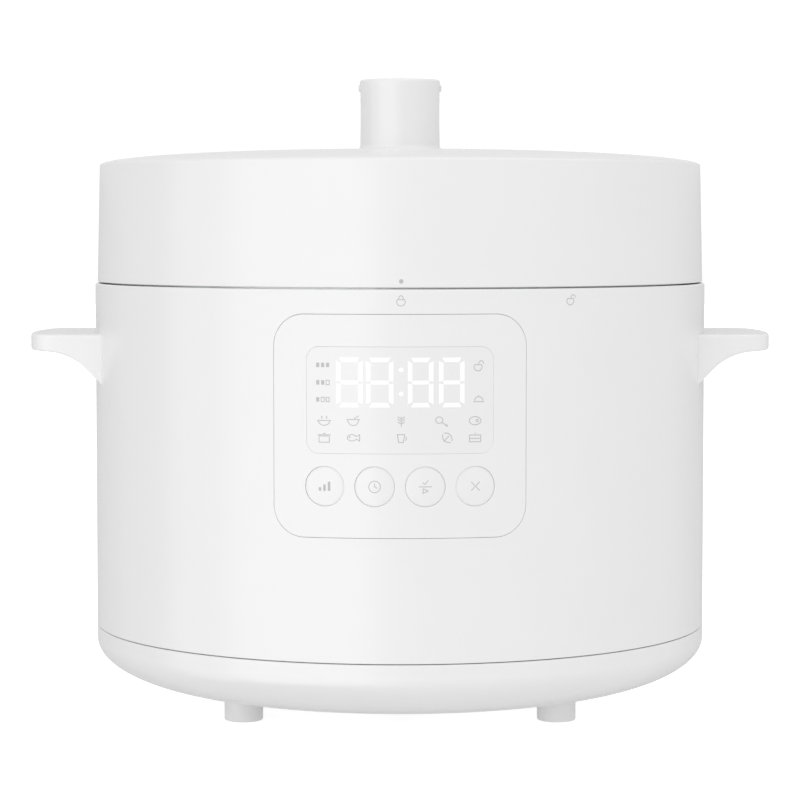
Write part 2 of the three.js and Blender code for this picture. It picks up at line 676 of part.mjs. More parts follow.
function releaseButton() {
  const top = KNOB_TOP - 0.3;
  const outer = KNOB_BORE_R - 0.4;
  const under = top - 2.8;
  let cap = solid(turned([
    [0, top], [outer - 0.8, top], [outer, top - 0.8], [outer, 268], [outer - 1.8, 268],
    [outer - 1.8, under], [3.2, under], [3.2, 268], [1.7, 268], [1.7, under], [0, under],
  ], ROUND_MID));
  for (const side of [0, 180]) {
    cap = cap.add(solid(spun(block(13.2, TAB.out, -TAB.half, TAB.half, TAB.low, TAB.high), side)));
  }
  return geometryOf(cap);
}

// ---------- assembly ----------
const cooker = new THREE.Group();
cooker.name = 'electric_pressure_cooker';

const body = new THREE.Group();
body.add(piece('outer_housing', outerHousing(), whiteShell()));
body.add(piece('base_shell', baseShell(), whiteShell()));
body.add(piece('rim_ring', rimRing(), whiteTrim()));
footPlaces().forEach(([x, y], index) => {
  const name = ['foot_front_left', 'foot_front_right', 'foot_rear_right', 'foot_rear_left'][index];
  body.add(piece(name, foot(x, y), silicone(), [x, y, 0]));
});
const screwToHandle = screw(3.4, 2.2, 1.5, 9.6).rotateY(Math.PI / 2);
for (const [side, turn] of [['right', 0], ['left', Math.PI]]) {
  const grip = piece(`handle_${side}`, geometryOf(handle()), whiteShell());
  const fixing = piece(`handle_screw_${side}`, screwToHandle, steel(), [133.4, 0, HANDLE_SCREW_Z]);
  const sideGroup = new THREE.Group();
  sideGroup.rotation.z = turn;
  sideGroup.add(grip, fixing);
  body.add(sideGroup);
}
everyDegrees(3, 90).forEach((angle, index) => {
  const place = [BASE_SCREW_R * Math.cos(rad(angle)), BASE_SCREW_R * Math.sin(rad(angle)), 11.7];
  body.add(piece(`base_screw_${index + 1}`, screw(3.8, 2.1, 1.5, 25.3), steel(), place));
});

body.add(piece('control_panel', controlPanel(), whiteShell()));
body.add(piece('display_window', displayWindow(), whiteTrim()));
body.add(piece('display_module', displayModule(), darkPlastic()));
body.add(piece('control_board', controlBoard(), circuitGreen()));
['level', 'timer', 'start', 'cancel'].forEach((name, index) => {
  body.add(piece(`button_${name}`, button(index), whiteTrim()));
});
for (const [side, sign] of [['left', -1], ['right', 1]]) {
  const fixing = screw(2.4, 1.5, 1, 7.5).rotateX(Math.PI / 2);
  const place = [sign * BOARD_SCREW.x, -BOARD_Y + GAP, BOARD_SCREW.z];
  body.add(piece(`board_screw_${side}`, fixing, steel(), place));
}

body.add(piece('outer_pot', outerPot(), steel()));
body.add(piece('heat_shield', heatShield(), steel()));
body.add(piece('heating_plate', heatingPlate(), castAluminium()));
body.add(piece('sensor_holder', sensorHolder(), steel()));
body.add(piece('temperature_sensor', temperatureSensor(), castAluminium()));
body.add(piece('sensor_spring', coilSpring(8.5, 0.7, 29.2, 37.6, 3), steel()));
body.add(piece('pressure_switch', pressureSwitch(), darkPlastic(), [58, -10, 0]));
body.add(piece('supply_board', supplyBoard(), circuitGreen()));
body.add(piece('control_cable', controlCable(), silicone()));
body.add(piece('power_inlet', powerInlet(), darkPlastic()));
for (const [name, x, z] of INLET_PINS) {
  body.add(piece(`inlet_pin_${name}`, pinBlade(x, z, 0), steel()));
}

const pot = new THREE.Group();
pot.add(piece('inner_pot', innerPot(), castAluminium()));

const lid = new THREE.Group();
lid.add(piece('sealing_ring', sealingRing(), silicone()));
lid.add(piece('lid_cover', lidCover(), whiteShell()));
lid.add(piece('lid_liner', lidLiner(), whiteTrim()));
lid.add(piece('inner_lid', innerLid(), steel()));
everyDegrees(3, 30).forEach((angle, index) => {
  const along = (r, z) => [r * Math.cos(rad(angle)), r * Math.sin(rad(angle)), z];
  const fixing = screw(3.2, 1.7, 1.5, 10.7);
  lid.add(piece(`lid_screw_${index + 1}`, fixing, steel(), along(LID_BOSS_R, 192.3)));
  const nutPlace = along(STUD_R, LINER_Z + LINER_T + GAP);
  lid.add(piece(`stud_nut_${index + 1}`, hexNut(4.2, 2.4, 0, 3), steel(), nutPlace));
});
lid.add(piece('exhaust_pipe', exhaustPipe(), steel()));
lid.add(piece('pipe_nut', hexNut(7.5, 4.3, 205.8, 209.3), steel()));
lid.add(piece('anti_block_shield', antiBlockShield(), steel()));
lid.add(piece('exhaust_valve', exhaustValve(), steel()));
lid.add(piece('float_valve', floatValve(), steel(), [FLOAT.x, FLOAT.y, 0]));
lid.add(piece('float_gasket', floatGasket(), silicone(), [FLOAT.x, FLOAT.y, 0]));
lid.add(piece('safety_plug', safetyPlug(), silicone(), [-FLOAT.x, -FLOAT.y, 0]));
lid.add(piece('lid_knob', lidKnob(), whiteShell()));
lid.add(piece('release_button', releaseButton(), whiteShell()));
lid.add(piece('release_spring', coilSpring(9, 0.7, 252.3, 274.1, 5), steel()));
knobScrewPlaces().forEach(([x, y], index) => {
  const head = [x, y, LID_TOP - WALL - 0.4];
  lid.add(piece(`knob_screw_${index + 1}`, screw(2.6, 2, 1.2, 6.3), steel(), head));
});

cooker.add(body, pot, lid);
export default cooker;
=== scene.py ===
import json
from cmath import phase, rect
from math import acos, atan2, ceil, cos, hypot, pi, radians, sin, sqrt, tan

import bmesh
import bpy
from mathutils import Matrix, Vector


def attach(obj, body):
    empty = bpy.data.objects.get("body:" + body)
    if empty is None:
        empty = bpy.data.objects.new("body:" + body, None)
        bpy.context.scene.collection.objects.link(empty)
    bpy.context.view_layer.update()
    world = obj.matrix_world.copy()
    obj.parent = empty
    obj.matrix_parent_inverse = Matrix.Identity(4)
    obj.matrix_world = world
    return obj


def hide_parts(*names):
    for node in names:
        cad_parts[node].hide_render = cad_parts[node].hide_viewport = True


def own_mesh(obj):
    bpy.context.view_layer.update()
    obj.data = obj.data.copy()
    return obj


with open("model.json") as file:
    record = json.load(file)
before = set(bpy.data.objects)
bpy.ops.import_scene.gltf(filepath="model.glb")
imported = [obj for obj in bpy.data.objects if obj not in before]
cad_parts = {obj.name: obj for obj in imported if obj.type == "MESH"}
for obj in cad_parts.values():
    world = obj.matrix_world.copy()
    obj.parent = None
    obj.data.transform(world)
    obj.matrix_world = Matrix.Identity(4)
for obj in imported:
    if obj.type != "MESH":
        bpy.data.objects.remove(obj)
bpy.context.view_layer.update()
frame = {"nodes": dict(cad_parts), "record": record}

# Shape sizes are in millimetres. The body axis is Z, the front faces -Y.
MM = 0.001
TAU = 2 * pi

# ---- driving dimensions ----
BODY_R = 136.5
SKIN_R = 136.44  # outer face of the moulded walls, which leaves room for the printing
PRINT_R = 136.47
PRINT_LOW_R = SKIN_R - 0.05  # where a printed mark begins, just under the face
WALL = 2.5
COLUMNS = 400  # facets round the wrapped walls
BIG_ROUND = 256
MID_ROUND = 128
SMALL_ROUND = 64

BASE_Z = 6.9
BASE_FLAT_R = 82.5
BASE_CURVE_TOP = 28.5
BASE_EDGE = 34.34
BASE_LIP_TOP = 38
BASE_SCREW_R = 98  # circle of the three screws
RECESS_R = 4.4
BOSS_R = 5.5
HOUSING_LOW = 34.7
HOUSING_TOP = 186.9
INLET_HALF = 16.35
INLET_LOW, INLET_HIGH = 39.7, 64.3

LID_BOTTOM = 187.5
LID_BOTTOM_R = 135.45
LID_RIM = 239.1
LID_RIM_R = 134.2
LID_RISE = 7.1
LID_TOP = LID_RIM + LID_RISE
LID_BORE_R = 6
LID_SCREW_R = 127
STUD_CIRCLE_R = 110

KNOB_R = 17.85
KNOB_WAIST_R = 17.68
KNOB_TOP_R = 18.1
KNOB_FLARE = 1.9  # rounding where the knob meets the lid
KNOB_TOP = 277.5
KNOB_BORE_R = 14.8
KNOB_FLOOR = 252
PIPE_HOLE_R = 5.2

HANDLE_TOP = 164.9
HANDLE_HALF = 39.6
HANDLE_TIP_R = 165
HANDLE_CORNER = 10
HANDLE_WALL = 3
HANDLE_ROOT = 122  # how far inside the body its outline begins
FOOT_OFFSET = 67.3
FOOT_R = 8.3
FOOT_HIGH = 10

PANEL = {"half": 52.75, "low": 86.05, "high": 176.85, "corner": 13.15}
WINDOW = {"half": 38.45, "low": 120.4, "high": 163.7, "corner": 5.1}
GROOVE = 0.14
WINDOW_GROOVE = 0.045
PANEL_FILLET = 0.12
WINDOW_FILLET = 0.06
WINDOW_THICK = 1.5
BUTTON_R = 8.15
BUTTON_GROOVE = 0.05
BUTTON_CROWN = 0.45  # how far a key's edge lies below its middle
BUTTON_Z = 107.05
BUTTON_PITCH = 20.6
BUTTONS = ("level", "timer", "start", "cancel")

# ---- materials ----


class Nodes:
    """Short forms for building the node tree of a material or of the world."""

    def __init__(self, owner):
        self.owner = owner
        owner.use_nodes = True
        self.tree = owner.node_tree
        self.shader = self.tree.nodes.get("Principled BSDF")

    def feed(self, socket, value):
        if isinstance(value, bpy.types.NodeSocket):
            self.tree.links.new(value, socket)
        else:
            socket.default_value = value

    def set(self, node, **inputs):
        for key, value in inputs.items():
            self.feed(node.inputs[key.replace("_", " ")], value)

    def add(self, kind, *values, operation=None, **inputs):
        """A new node. Its first inputs take values in order, and others go by name."""
        node = self.tree.nodes.new(kind)
        if operation:
            node.operation = operation
        for socket, value in zip(node.inputs, values):
            self.feed(socket, value)
        self.set(node, **inputs)
        return node


class Finish(Nodes):
    """A material of the object: its textures follow the object's own coordinates."""

    def __init__(self, name):
        super().__init__(bpy.data.materials.new(name))
        self.place = self.add("ShaderNodeTexCoord").outputs["Object"]

    def noise(self, scale, detail=2.0, vector=None):
        node = self.add("ShaderNodeTexNoise", Scale=scale, Detail=detail, Vector=vector or self.place)
        return node.outputs["Fac"]

    def ramp(self, value, low, high, start=0.3, end=0.7):
        ends = {"From_Min": start, "From_Max": end, "To_Min": low, "To_Max": high}
        return self.add("ShaderNodeMapRange", Value=value, **ends).outputs["Result"]

    def blend(self, factor, first, second):
        node = self.add("ShaderNodeMix", factor)
        node.data_type = "RGBA"
        for k, colour in ((6, first), (7, second)):
            node.inputs[k].default_value = (*colour, 1)
        return node.outputs[2]

    def bump(self, height, strength, distance, **under):
        node = self.add("ShaderNodeBump", Strength=strength, Distance=distance, Height=height, **under)
        return node.outputs["Normal"]

    def surface(self, **inputs):
        self.set(self.shader, **inputs)


def shaded(colour, change):
    return tuple(c * change for c in colour)


def moulded(name, colour, roughness, peel=0.12, texture=0.0, uneven=1.0, **constants):
    """Moulded plastic or rubber: faint mottling, uneven sheen, and orange peel or a fine texture."""
    n = Finish(name)
    mottle = n.noise(35.0, 3.0)
    darker, lighter = shaded(colour, 1 - 0.012 * uneven), shaded(colour, 1 + 0.006 * uneven)
    n.surface(Base_Color=n.blend(mottle, darker, lighter))
    sheen = 0.05 * uneven * roughness
    n.surface(Roughness=n.ramp(n.noise(60.0), roughness - sheen, roughness + sheen))
    skin = n.bump(n.noise(420.0, 1.0), peel, 0.00006)
    if texture:
        skin = n.bump(n.noise(3200.0), texture, 0.00008, Normal=skin)
    n.surface(Normal=skin, **constants)
    return n.owner


def turned_metal(name, colour, roughness, lines=900.0, depth=0.25):
    """Metal with fine concentric tool or brush lines about the body axis."""
    n = Finish(name)
    split = n.add("ShaderNodeSeparateXYZ", Vector=n.place)
    flat = n.add("ShaderNodeCombineXYZ", X=split.outputs["X"], Y=split.outputs["Y"])
    radius = n.add("ShaderNodeVectorMath", flat.outputs["Vector"], operation="LENGTH")
    across = n.add("ShaderNodeCombineXYZ", X=radius.outputs["Value"], Y=split.outputs["Z"])
    lines_map = n.noise(lines, 3.0, across.outputs["Vector"])
    n.surface(Base_Color=n.blend(n.noise(28.0), shaded(colour, 0.94), shaded(colour, 1.03)))
    n.surface(Roughness=n.ramp(lines_map, roughness * 0.8, roughness * 1.25))
    n.surface(Normal=n.bump(lines_map, depth, 0.00005), Metallic=1.0)
    return n.owner


def plated_metal(name, colour, roughness):
    """Small plated parts: cloudy plating and fine scratches."""
    n = Finish(name)
    cloud = n.noise(260.0, 4.0)
    n.surface(Base_Color=n.blend(cloud, shaded(colour, 0.9), shaded(colour, 1.05)))
    n.surface(Roughness=n.ramp(cloud, roughness * 0.75, roughness * 1.3))
    n.surface(Normal=n.bump(n.noise(2600.0, 3.0), 0.15, 0.00004), Metallic=1.0)
    return n.owner


def board_mask(name, colour):
    """Green solder mask with tracks showing through and a slight gloss."""
    n = Finish(name)
    cells = n.add("ShaderNodeTexVoronoi", Scale=210.0, Vector=n.place)
    cells.feature = "DISTANCE_TO_EDGE"
    tracks = n.ramp(cells.outputs["Distance"], 0.0, 1.0, 0.02, 0.06)
    n.surface(Base_Color=n.blend(tracks, shaded(colour, 1.5), colour))
    n.surface(Roughness=n.ramp(n.noise(90.0), 0.3, 0.45))
    n.surface(Normal=n.bump(tracks, 0.3, 0.00005))
    return n.owner


def lit(name, colour, strength):
    """Segments that glow from behind a milky window, a little uneven across their width."""
    n = Finish(name)
    n.surface(Base_Color=(*colour, 1), Roughness=0.3)
    n.surface(Emission_Color=n.blend(n.noise(300.0, 1.0), (0.97, 0.97, 0.97), (1.0, 1.0, 1.0)))
    n.surface(Emission_Strength=strength)
    return n.owner


WHITE = (0.80, 0.80, 0.80)
MATERIALS = {
    "shell_white": moulded("satin_white_shell", WHITE, 0.24, IOR=1.5),
    "panel_white": moulded("satin_white_panel", WHITE, 0.24, uneven=0.5, IOR=1.5),
    "window_white": moulded("milky_window", (0.79, 0.79, 0.792), 0.22, peel=0.03, uneven=0.25, IOR=1.5),
    "trim_white": moulded("white_trim", (0.74, 0.74, 0.735), 0.5, texture=0.2),
    "foot_white": moulded("pale_rubber", (0.8, 0.8, 0.8), 0.6, texture=0.3),
    "silicone": moulded("silicone", (0.66, 0.67, 0.68), 0.5, texture=0.1, Subsurface_Weight=0.2),
    "steel": turned_metal("brushed_steel", (0.66, 0.67, 0.68), 0.27),
    "zinc_steel": plated_metal("zinc_plate", (0.6, 0.61, 0.63), 0.32),
    "cast_aluminium": turned_metal("turned_aluminium", (0.6, 0.61, 0.62), 0.38, lines=600.0, depth=0.35),
    "dark_plastic": moulded("black_plastic", (0.035, 0.035, 0.038), 0.48, texture=0.4),
    "circuit_board": board_mask("solder_mask", (0.02, 0.13, 0.055)),
    "cable_grey": moulded("ribbon_insulation", (0.5, 0.51, 0.52), 0.5, texture=0.2),
    "print_grey": moulded("printed_grey", (0.46, 0.46, 0.46), 0.5, peel=0.0, texture=0.1),
    "display_light": lit("lit_segments", (0.3, 0.3, 0.3), 0.75),
}
HALO = lit("lit_halo", (0.62, 0.62, 0.62), 0.25)

# ---- meshes ----
SHARP = radians(32)  # edges that bend more than this stay sharp


def link(name, data):
    thing = bpy.data.objects.new(name, data)
    bpy.context.scene.collection.objects.link(thing)
    return thing


def smooth(piece):
    piece.data.shade_smooth()
    piece.data.set_sharp_from_angle(angle=SHARP)


def dress(piece, body, slot, replaced=()):
    piece.data.materials.clear()
    piece.data.materials.append(MATERIALS[slot])
    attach(piece, body)
    if replaced:
        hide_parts(*replaced)


def make(name, verts, faces, body=None, slot=None, replaced=()):
    """A piece from points in millimetres, with shared corners joined and faces pointing out."""
    mesh = bpy.data.meshes.new(name)
    mesh.from_pydata([(x * MM, y * MM, z * MM) for x, y, z in verts], [], faces)
    bm = bmesh.new()
    bm.from_mesh(mesh)
    bmesh.ops.remove_doubles(bm, verts=bm.verts, dist=1e-7)
    bmesh.ops.recalc_face_normals(bm, faces=bm.faces)
    bm.to_mesh(mesh)
    bm.free()
    piece = link(name, mesh)
    smooth(piece)
    if body:
        dress(piece, body, slot, replaced)
    return piece


def joined(*shapes):
    verts, faces = [], []
    for more, its_faces in shapes:
        start = len(verts)
        verts += more
        faces += [[start + k for k in face] for face in its_faces]
    return verts, faces


def tool(*shapes):
    """A shape that is only there to cut another or to be added to it."""
    return make("tool", *joined(*shapes))


def carve(piece, *tools, operation="DIFFERENCE"):
    """Cuts the tools out of the piece, or adds them to it, and drops them."""
    for other in tools:
        step = piece.modifiers.new("step", "BOOLEAN")
        step.object = other
        step.operation = operation
        step.solver = "EXACT"
    bpy.context.view_layer.update()
    seen = piece.evaluated_get(bpy.context.evaluated_depsgraph_get())
    done = bpy.data.meshes.new_from_object(seen)
    piece.modifiers.clear()
    piece.data = done
    for other in tools:
        bpy.data.objects.remove(other)
    smooth(piece)


def softened(piece, width, angle=40):
    """Rounds every sharp edge of a piece."""
    step = piece.modifiers.new("edges", "BEVEL")
    step.width = width * MM
    step.segments = 3
    step.limit_method = "ANGLE"
    step.angle_limit = radians(angle)
    step.harden_normals = True


def lathe(profile, segments=BIG_ROUND, centre=(0, 0)):
    """A turned shape from (radius, height) pairs. A profile that stays off the axis closes on itself."""
    verts, faces, rows = [], [], []
    for r, z in profile:
        row = range(len(verts), len(verts) + (segments if r > 1e-6 else 1))
        for k in range(len(row)):
            a = TAU * k / segments
            verts.append((centre[0] + r * sin(a), centre[1] - r * cos(a), z))
        rows.append(row)
    if profile[0][0] > 0:
        rows.append(rows[0])
    for low, high in zip(rows, rows[1:]):
        for k in range(segments):
            j = k + 1
            corners = (low[k % len(low)], low[j % len(low)], high[j % len(high)], high[k % len(high)])
            face = list(dict.fromkeys(corners))
            if len(face) > 2:
                faces.append(face)
    return verts, faces


SUPPORT = 0.3  # how far beyond a fillet the flat begins to be truly flat


def rounded(corners, steps=5):
    """A profile whose corners (r, z, fillet) become arcs, with points beside them that keep flats flat."""
    out = []
    for i, (r, z, *fillet) in enumerate(corners):
        if not fillet:
            out.append((r, z))
            continue
        size, p = fillet[0], complex(r, z)
        before, after = (complex(*q[:2]) - p for q in (corners[i - 1], corners[(i + 1) % len(corners)]))
        a, b = before / abs(before), after / abs(after)
        half = abs(phase(b / a)) / 2
        reach = size / tan(half)
        centre = p + (a + b) / abs(a + b) * size / sin(half)
        first, last = (phase(p + leg * reach - centre) for leg in (a, b))
        sweep = (last - first + pi) % TAU - pi
        dots = [centre + rect(size, first + sweep * k / steps) for k in range(steps + 1)]
        if abs(before) > reach + 3 * SUPPORT:
            dots.insert(0, p + a * (reach + SUPPORT))
        if abs(after) > reach + 3 * SUPPORT:
            dots.append(p + b * (reach + SUPPORT))
        out += [(dot.real, dot.imag) for dot in dots]
    return out


def quarter(steps):
    """1 - sin and 1 - cos along a quarter turn."""
    angles = [TAU / 4 * k / steps for k in range(steps + 1)]
    return [(1 - sin(a), 1 - cos(a)) for a in angles]


def swept(sections, loop=False):
    """A closed shape through sections with equal numbers of points, with flat ends or as a loop."""
    size, count = len(sections[0]), len(sections)
    faces = []
    for i in range(count if loop else count - 1):
        here, there = size * i, size * ((i + 1) % count)
        for j in range(size):
            k = (j + 1) % size
            faces.append((here + j, here + k, there + k, there + j))
    if not loop:
        faces += [range(size), range(size * (count - 1), size * count)]
    return [p for section in sections for p in section], faces


def rod(radius, low, high, centre=(0, 0)):
    return lathe([(0, low), (radius, low), (radius, high), (0, high)], SMALL_ROUND, centre)


def block(x0, x1, y0, y1, z0, z1):
    verts = [(x, y, z) for x in (x0, x1) for y in (y0, y1) for z in (z0, z1)]
    faces = [(0, 1, 3, 2), (4, 6, 7, 5), (0, 4, 5, 1), (2, 3, 7, 6), (0, 2, 6, 4), (1, 5, 7, 3)]
    return verts, faces


def spun(shape, degrees, shift=(0, 0, 0)):
    """A shape moved by shift and then turned about the body axis."""
    verts, faces = shape
    c, s = cos(radians(degrees)), sin(radians(degrees))
    moved = [(x + shift[0], y + shift[1], z + shift[2]) for x, y, z in verts]
    return [(x * c - y * s, x * s + y * c, z) for x, y, z in moved], faces


def at_angles(shape, count, first, radius=0):
    """Copies of a shape round the body axis, the first at an angle from +X."""
    return [spun(shape, first + 360 / count * k, (radius, 0, 0)) for k in range(count)]


def sector(inner, outer, low, high, middle, half):
    """A lug: part of a ring, with angles in degrees from +X."""
    corners = ((inner, low), (outer, low), (outer, high), (inner, high))
    angles = [radians(middle - half + 2 * half * k / 16) for k in range(17)]
    return swept([[(r * cos(a), r * sin(a), z) for r, z in corners] for a in angles])


def lugs(inner, outer, low, high):
    return [sector(inner, outer, low, high, 30 + 60 * k, 13) for k in range(6)]


# ---- shapes wrapped on the cylinder ----
SIDE_FLAT = 0.15  # how far beyond an edge's fillet the extra row of points lies
BACK_CHAMFER = 0.2


def on_wall(u, z, r):
    """A point at arc length u along the body's surface, measured from the middle of the front."""
    a = u / BODY_R
    return (r * sin(a), -r * cos(a), z)


class Outline:
    """A rounded rectangle or circle on the wall. side is 1 for a plate's own edge, -1 for a hole."""

    def __init__(self, half, low, high, corner, side=1, middle=0.0, steps=14):
        self.side = side
        self.arcs = []
        reach = half - corner
        for way, cz, start in (
            (1, low + corner, -90), (1, high - corner, 0), (-1, high - corner, 90), (-1, low + corner, 180),
        ):
            cu = middle + way * reach
            arc = []
            for k in range(steps + 1):
                a = radians(start + 90 * k / steps)
                n = (round(cos(a), 12), round(sin(a), 12))
                arc.append((cu + corner * n[0], cz + corner * n[1], *n))
            self.arcs.append(arc)
        self.points = sum(self.arcs, [])

    def complete(self, columns):
        """Adds a point on the straight edges wherever a column meets them."""
        br, tr, tl, bl = self.arcs
        low_edge = [(u, bl[-1][1], 0.0, -1.0) for u in columns if bl[-1][0] + 1e-6 < u < br[0][0] - 1e-6]
        high_edge = [(u, tr[-1][1], 0.0, 1.0) for u in columns if tl[0][0] + 1e-6 < u < tr[-1][0] - 1e-6]
        self.points = [*br, *tr, *reversed(high_edge), *tl, *bl, *low_edge]

    def at(self, inset):
        return [(u - self.side * inset * nu, z - self.side * inset * nz) for u, z, nu, nz in self.points]


def framed(plate, grow, corner, side=1, steps=14):
    """The outline of the panel or window, larger all round by grow."""
    return Outline(plate["half"] + grow, plate["low"] - grow, plate["high"] + grow, corner, side, steps=steps)


def span(loop, u):
    """Lowest and highest point of a convex loop on a column, or None."""
    zs = []
    for (pu, pz), (qu, qz) in zip(loop, loop[1:] + loop[:1]):
        if min(pu, qu) - 1e-6 <= u <= max(pu, qu) + 1e-6:
            if abs(pu - qu) < 2e-6:
                zs += [pz, qz]
            else:
                t = min(1, max(0, (u - pu) / (qu - pu)))
                zs.append(pz + t * (qz - pz))
    return (min(zs), max(zs)) if zs else None


def face_cells(loops, columns, edge_at):
    """Cells between neighbouring columns: polygons that share every corner with their neighbours."""
    inside = [c for c in columns if edge_at(c)]
    on_column = {}
    for c in inside:
        marks = set(edge_at(c))
        for loop in loops:
            marks.update(z for u, z in loop if abs(u - c) < 2e-6)
            marks.update(span(loop, c) or ())
        on_column[c] = sorted(marks)
    cells = []
    for a, b in zip(inside, inside[1:]):
        middle = (a + b) / 2
        crossed = sorted((span(loop, middle)[0], loop) for loop in loops if span(loop, middle))
        (start_a, end_a), (start_b, end_b) = edge_at(a), edge_at(b)
        marks = [(start_a, start_b)]
        for _, loop in crossed:
            marks += zip(span(loop, a), span(loop, b))
        marks.append((end_a, end_b))
        for (la, lb), (ha, hb) in zip(marks[::2], marks[1::2]):
            right = [(b, z) for z in on_column[b] if lb - 1e-7 <= z <= hb + 1e-7]
            left = [(a, z) for z in on_column[a] if la - 1e-7 <= z <= ha + 1e-7]
            cells.append(right + left[::-1])
    return cells


def edge_layers(fillet, back):
    """Rows of an edge as (inset, radius): a fillet in front, a square side and a chamfer behind."""
    rows = [(fillet * s, SKIN_R - fillet * c) for s, c in quarter(6)]
    side = [(0, SKIN_R - fillet - SIDE_FLAT), (0, back + BACK_CHAMFER), (BACK_CHAMFER, back)]
    return [(fillet + SIDE_FLAT, SKIN_R), *rows, *side, (fillet + SIDE_FLAT, back)]


def wall_columns(outlines, flat, whole):
    """Where the wall's columns stand: at every point of the outlines, and evenly between them."""
    fixed = sorted(u for outline in outlines for u, _ in outline.at(flat))
    step = TAU * BODY_R / COLUMNS
    if whole:
        regular = [-TAU / 4 * BODY_R + k * step for k in range(COLUMNS + 1)]
    else:
        count = int(max(fixed) / step)
        regular = [k * step for k in range(-count, count + 1)]
    columns = []
    for u in sorted(fixed + [c for c in regular if all(abs(c - f) > 0.05 for f in fixed)]):
        if not columns or u - columns[-1] > 1e-5:
            columns.append(u)
    return columns


def wrapped(edge, holes, back, fillet):
    """A wall piece: its outer face, filleted edges, square sides, and its back.

    edge is an Outline or, for a wall all the way round, its lowest and highest z and their fillets.
    """
    layers = edge_layers(fillet, back)
    flat = layers[0][0]
    whole = isinstance(edge, tuple)
    outlines = list(holes) if whole else [edge, *holes]
    columns = wall_columns(outlines, flat, whole)
    for outline in outlines:
        outline.complete(columns)
    if whole:
        low_layers, high_layers = (edge_layers(f, back) for f in edge[2:])
        extent = (edge[0] + low_layers[0][0], edge[1] - high_layers[0][0])
    else:
        rim = edge.at(flat)

    def edge_at(u):
        return extent if whole else span(rim, u)

    verts, faces = [], []

    def point(u, z, r):
        verts.append(on_wall(u, z, r))
        return len(verts) - 1

    for cell in face_cells([hole.at(flat) for hole in holes], columns, edge_at):
        for r in (SKIN_R, back):
            faces.append([point(u, z, r) for u, z in cell])
    strips = [(layers, [(o.at(inset) + o.at(inset)[:1]) for inset, _ in layers]) for o in outlines]
    if whole:
        for z, side, its_layers in ((edge[0], 1, low_layers), (edge[1], -1, high_layers)):
            strips.append((its_layers, [[(u, z + side * inset) for u in columns] for inset, _ in its_layers]))
    for its_layers, strip in strips:
        rows = [[point(u, z, r) for u, z in row] for row, (_, r) in zip(strip, its_layers)]
        for a, b in zip(rows, rows[1:]):
            for k in range(len(a) - 1):
                faces.append([a[k], a[k + 1], b[k + 1], b[k]])
    return verts, faces


def ladder(first, second, top_r, closed=False):
    """A thin closed slab on the wall between two rows of points of equal length."""
    sections = []
    for a, b in zip(first, second):
        corners = ((a, PRINT_LOW_R), (b, PRINT_LOW_R), (b, top_r), (a, top_r))
        sections.append([on_wall(*p, r) for p, r in corners])
    return swept(sections, closed)


# ---- printed marks ----
LINE = 0.32  # width of a printed line
LINE_STEP = 0.7  # longest straight stretch of a line round the wall
FILL_STEP = 1.2
LOOP, SOLID = "loop", "solid"


def dense(points, closed):
    """Complex numbers along a line, close enough together for it to follow the wall."""
    dots = [complex(*p) for p in points]
    out = []
    for p, q in zip(dots, dots[1:] + dots[:1] if closed else dots[1:]):
        parts = max(1, ceil(abs(q - p) / LINE_STEP))
        out += [p + (q - p) * k / parts for k in range(parts)]
    return out if closed else [*out, dots[-1]]


def line(points, closed=False):
    dots = dense(points, closed)
    left, right = [], []
    for k, p in enumerate(dots):
        before = dots[k - 1] if k or closed else p
        after = dots[(k + 1) % len(dots)] if k < len(dots) - 1 or closed else p
        legs = [leg / abs(leg) for leg in (p - before, after - p) if abs(leg) > 1e-9]
        along = sum(legs) / (abs(sum(legs)) or 1)
        half = LINE / 2 / max(0.5, (along * legs[0].conjugate()).real)
        for row, side in ((left, p + 1j * along * half), (right, p - 1j * along * half)):
            row.append((side.real, side.imag))
    return ladder(left, right, PRINT_R, closed)


def filled(points, r=PRINT_R):
    """A convex filled shape as one slab."""
    columns = sorted({round(u, 6) for u, _ in points})
    low, high = columns[0], columns[-1]
    parts = max(1, ceil((high - low) / FILL_STEP))
    for k in range(1, parts):
        c = low + (high - low) * k / parts
        if all(abs(c - u) > 0.02 for u in columns):
            columns.append(c)
    rows = [(c, span(points, c)) for c in sorted(columns)]
    first = [(c, z[0]) for c, z in rows]
    second = [(c, max(z[1], z[0] + 1e-3)) for c, z in rows]
    return ladder(first, second, r)


def arc(cu, cz, r, start, end, flat=1.0):
    steps = max(4, int(abs(end - start) / 12))
    angles = [radians(start + (end - start) * k / steps) for k in range(steps + 1)]
    return [(cu + r * cos(a), cz + flat * r * sin(a)) for a in angles]


def disc(cu, cz, r):
    return arc(cu, cz, r, 0, 348)


def ring(cu, cz, r, flat=1.0):
    return LOOP, arc(cu, cz, r, 0, 360, flat)[:-1]


def box(low_u, high_u, low_z, high_z):
    return [(low_u, low_z), (high_u, low_z), (high_u, high_z), (low_u, high_z)]


def bar(half, z):
    return [(-half, z), (half, z)]


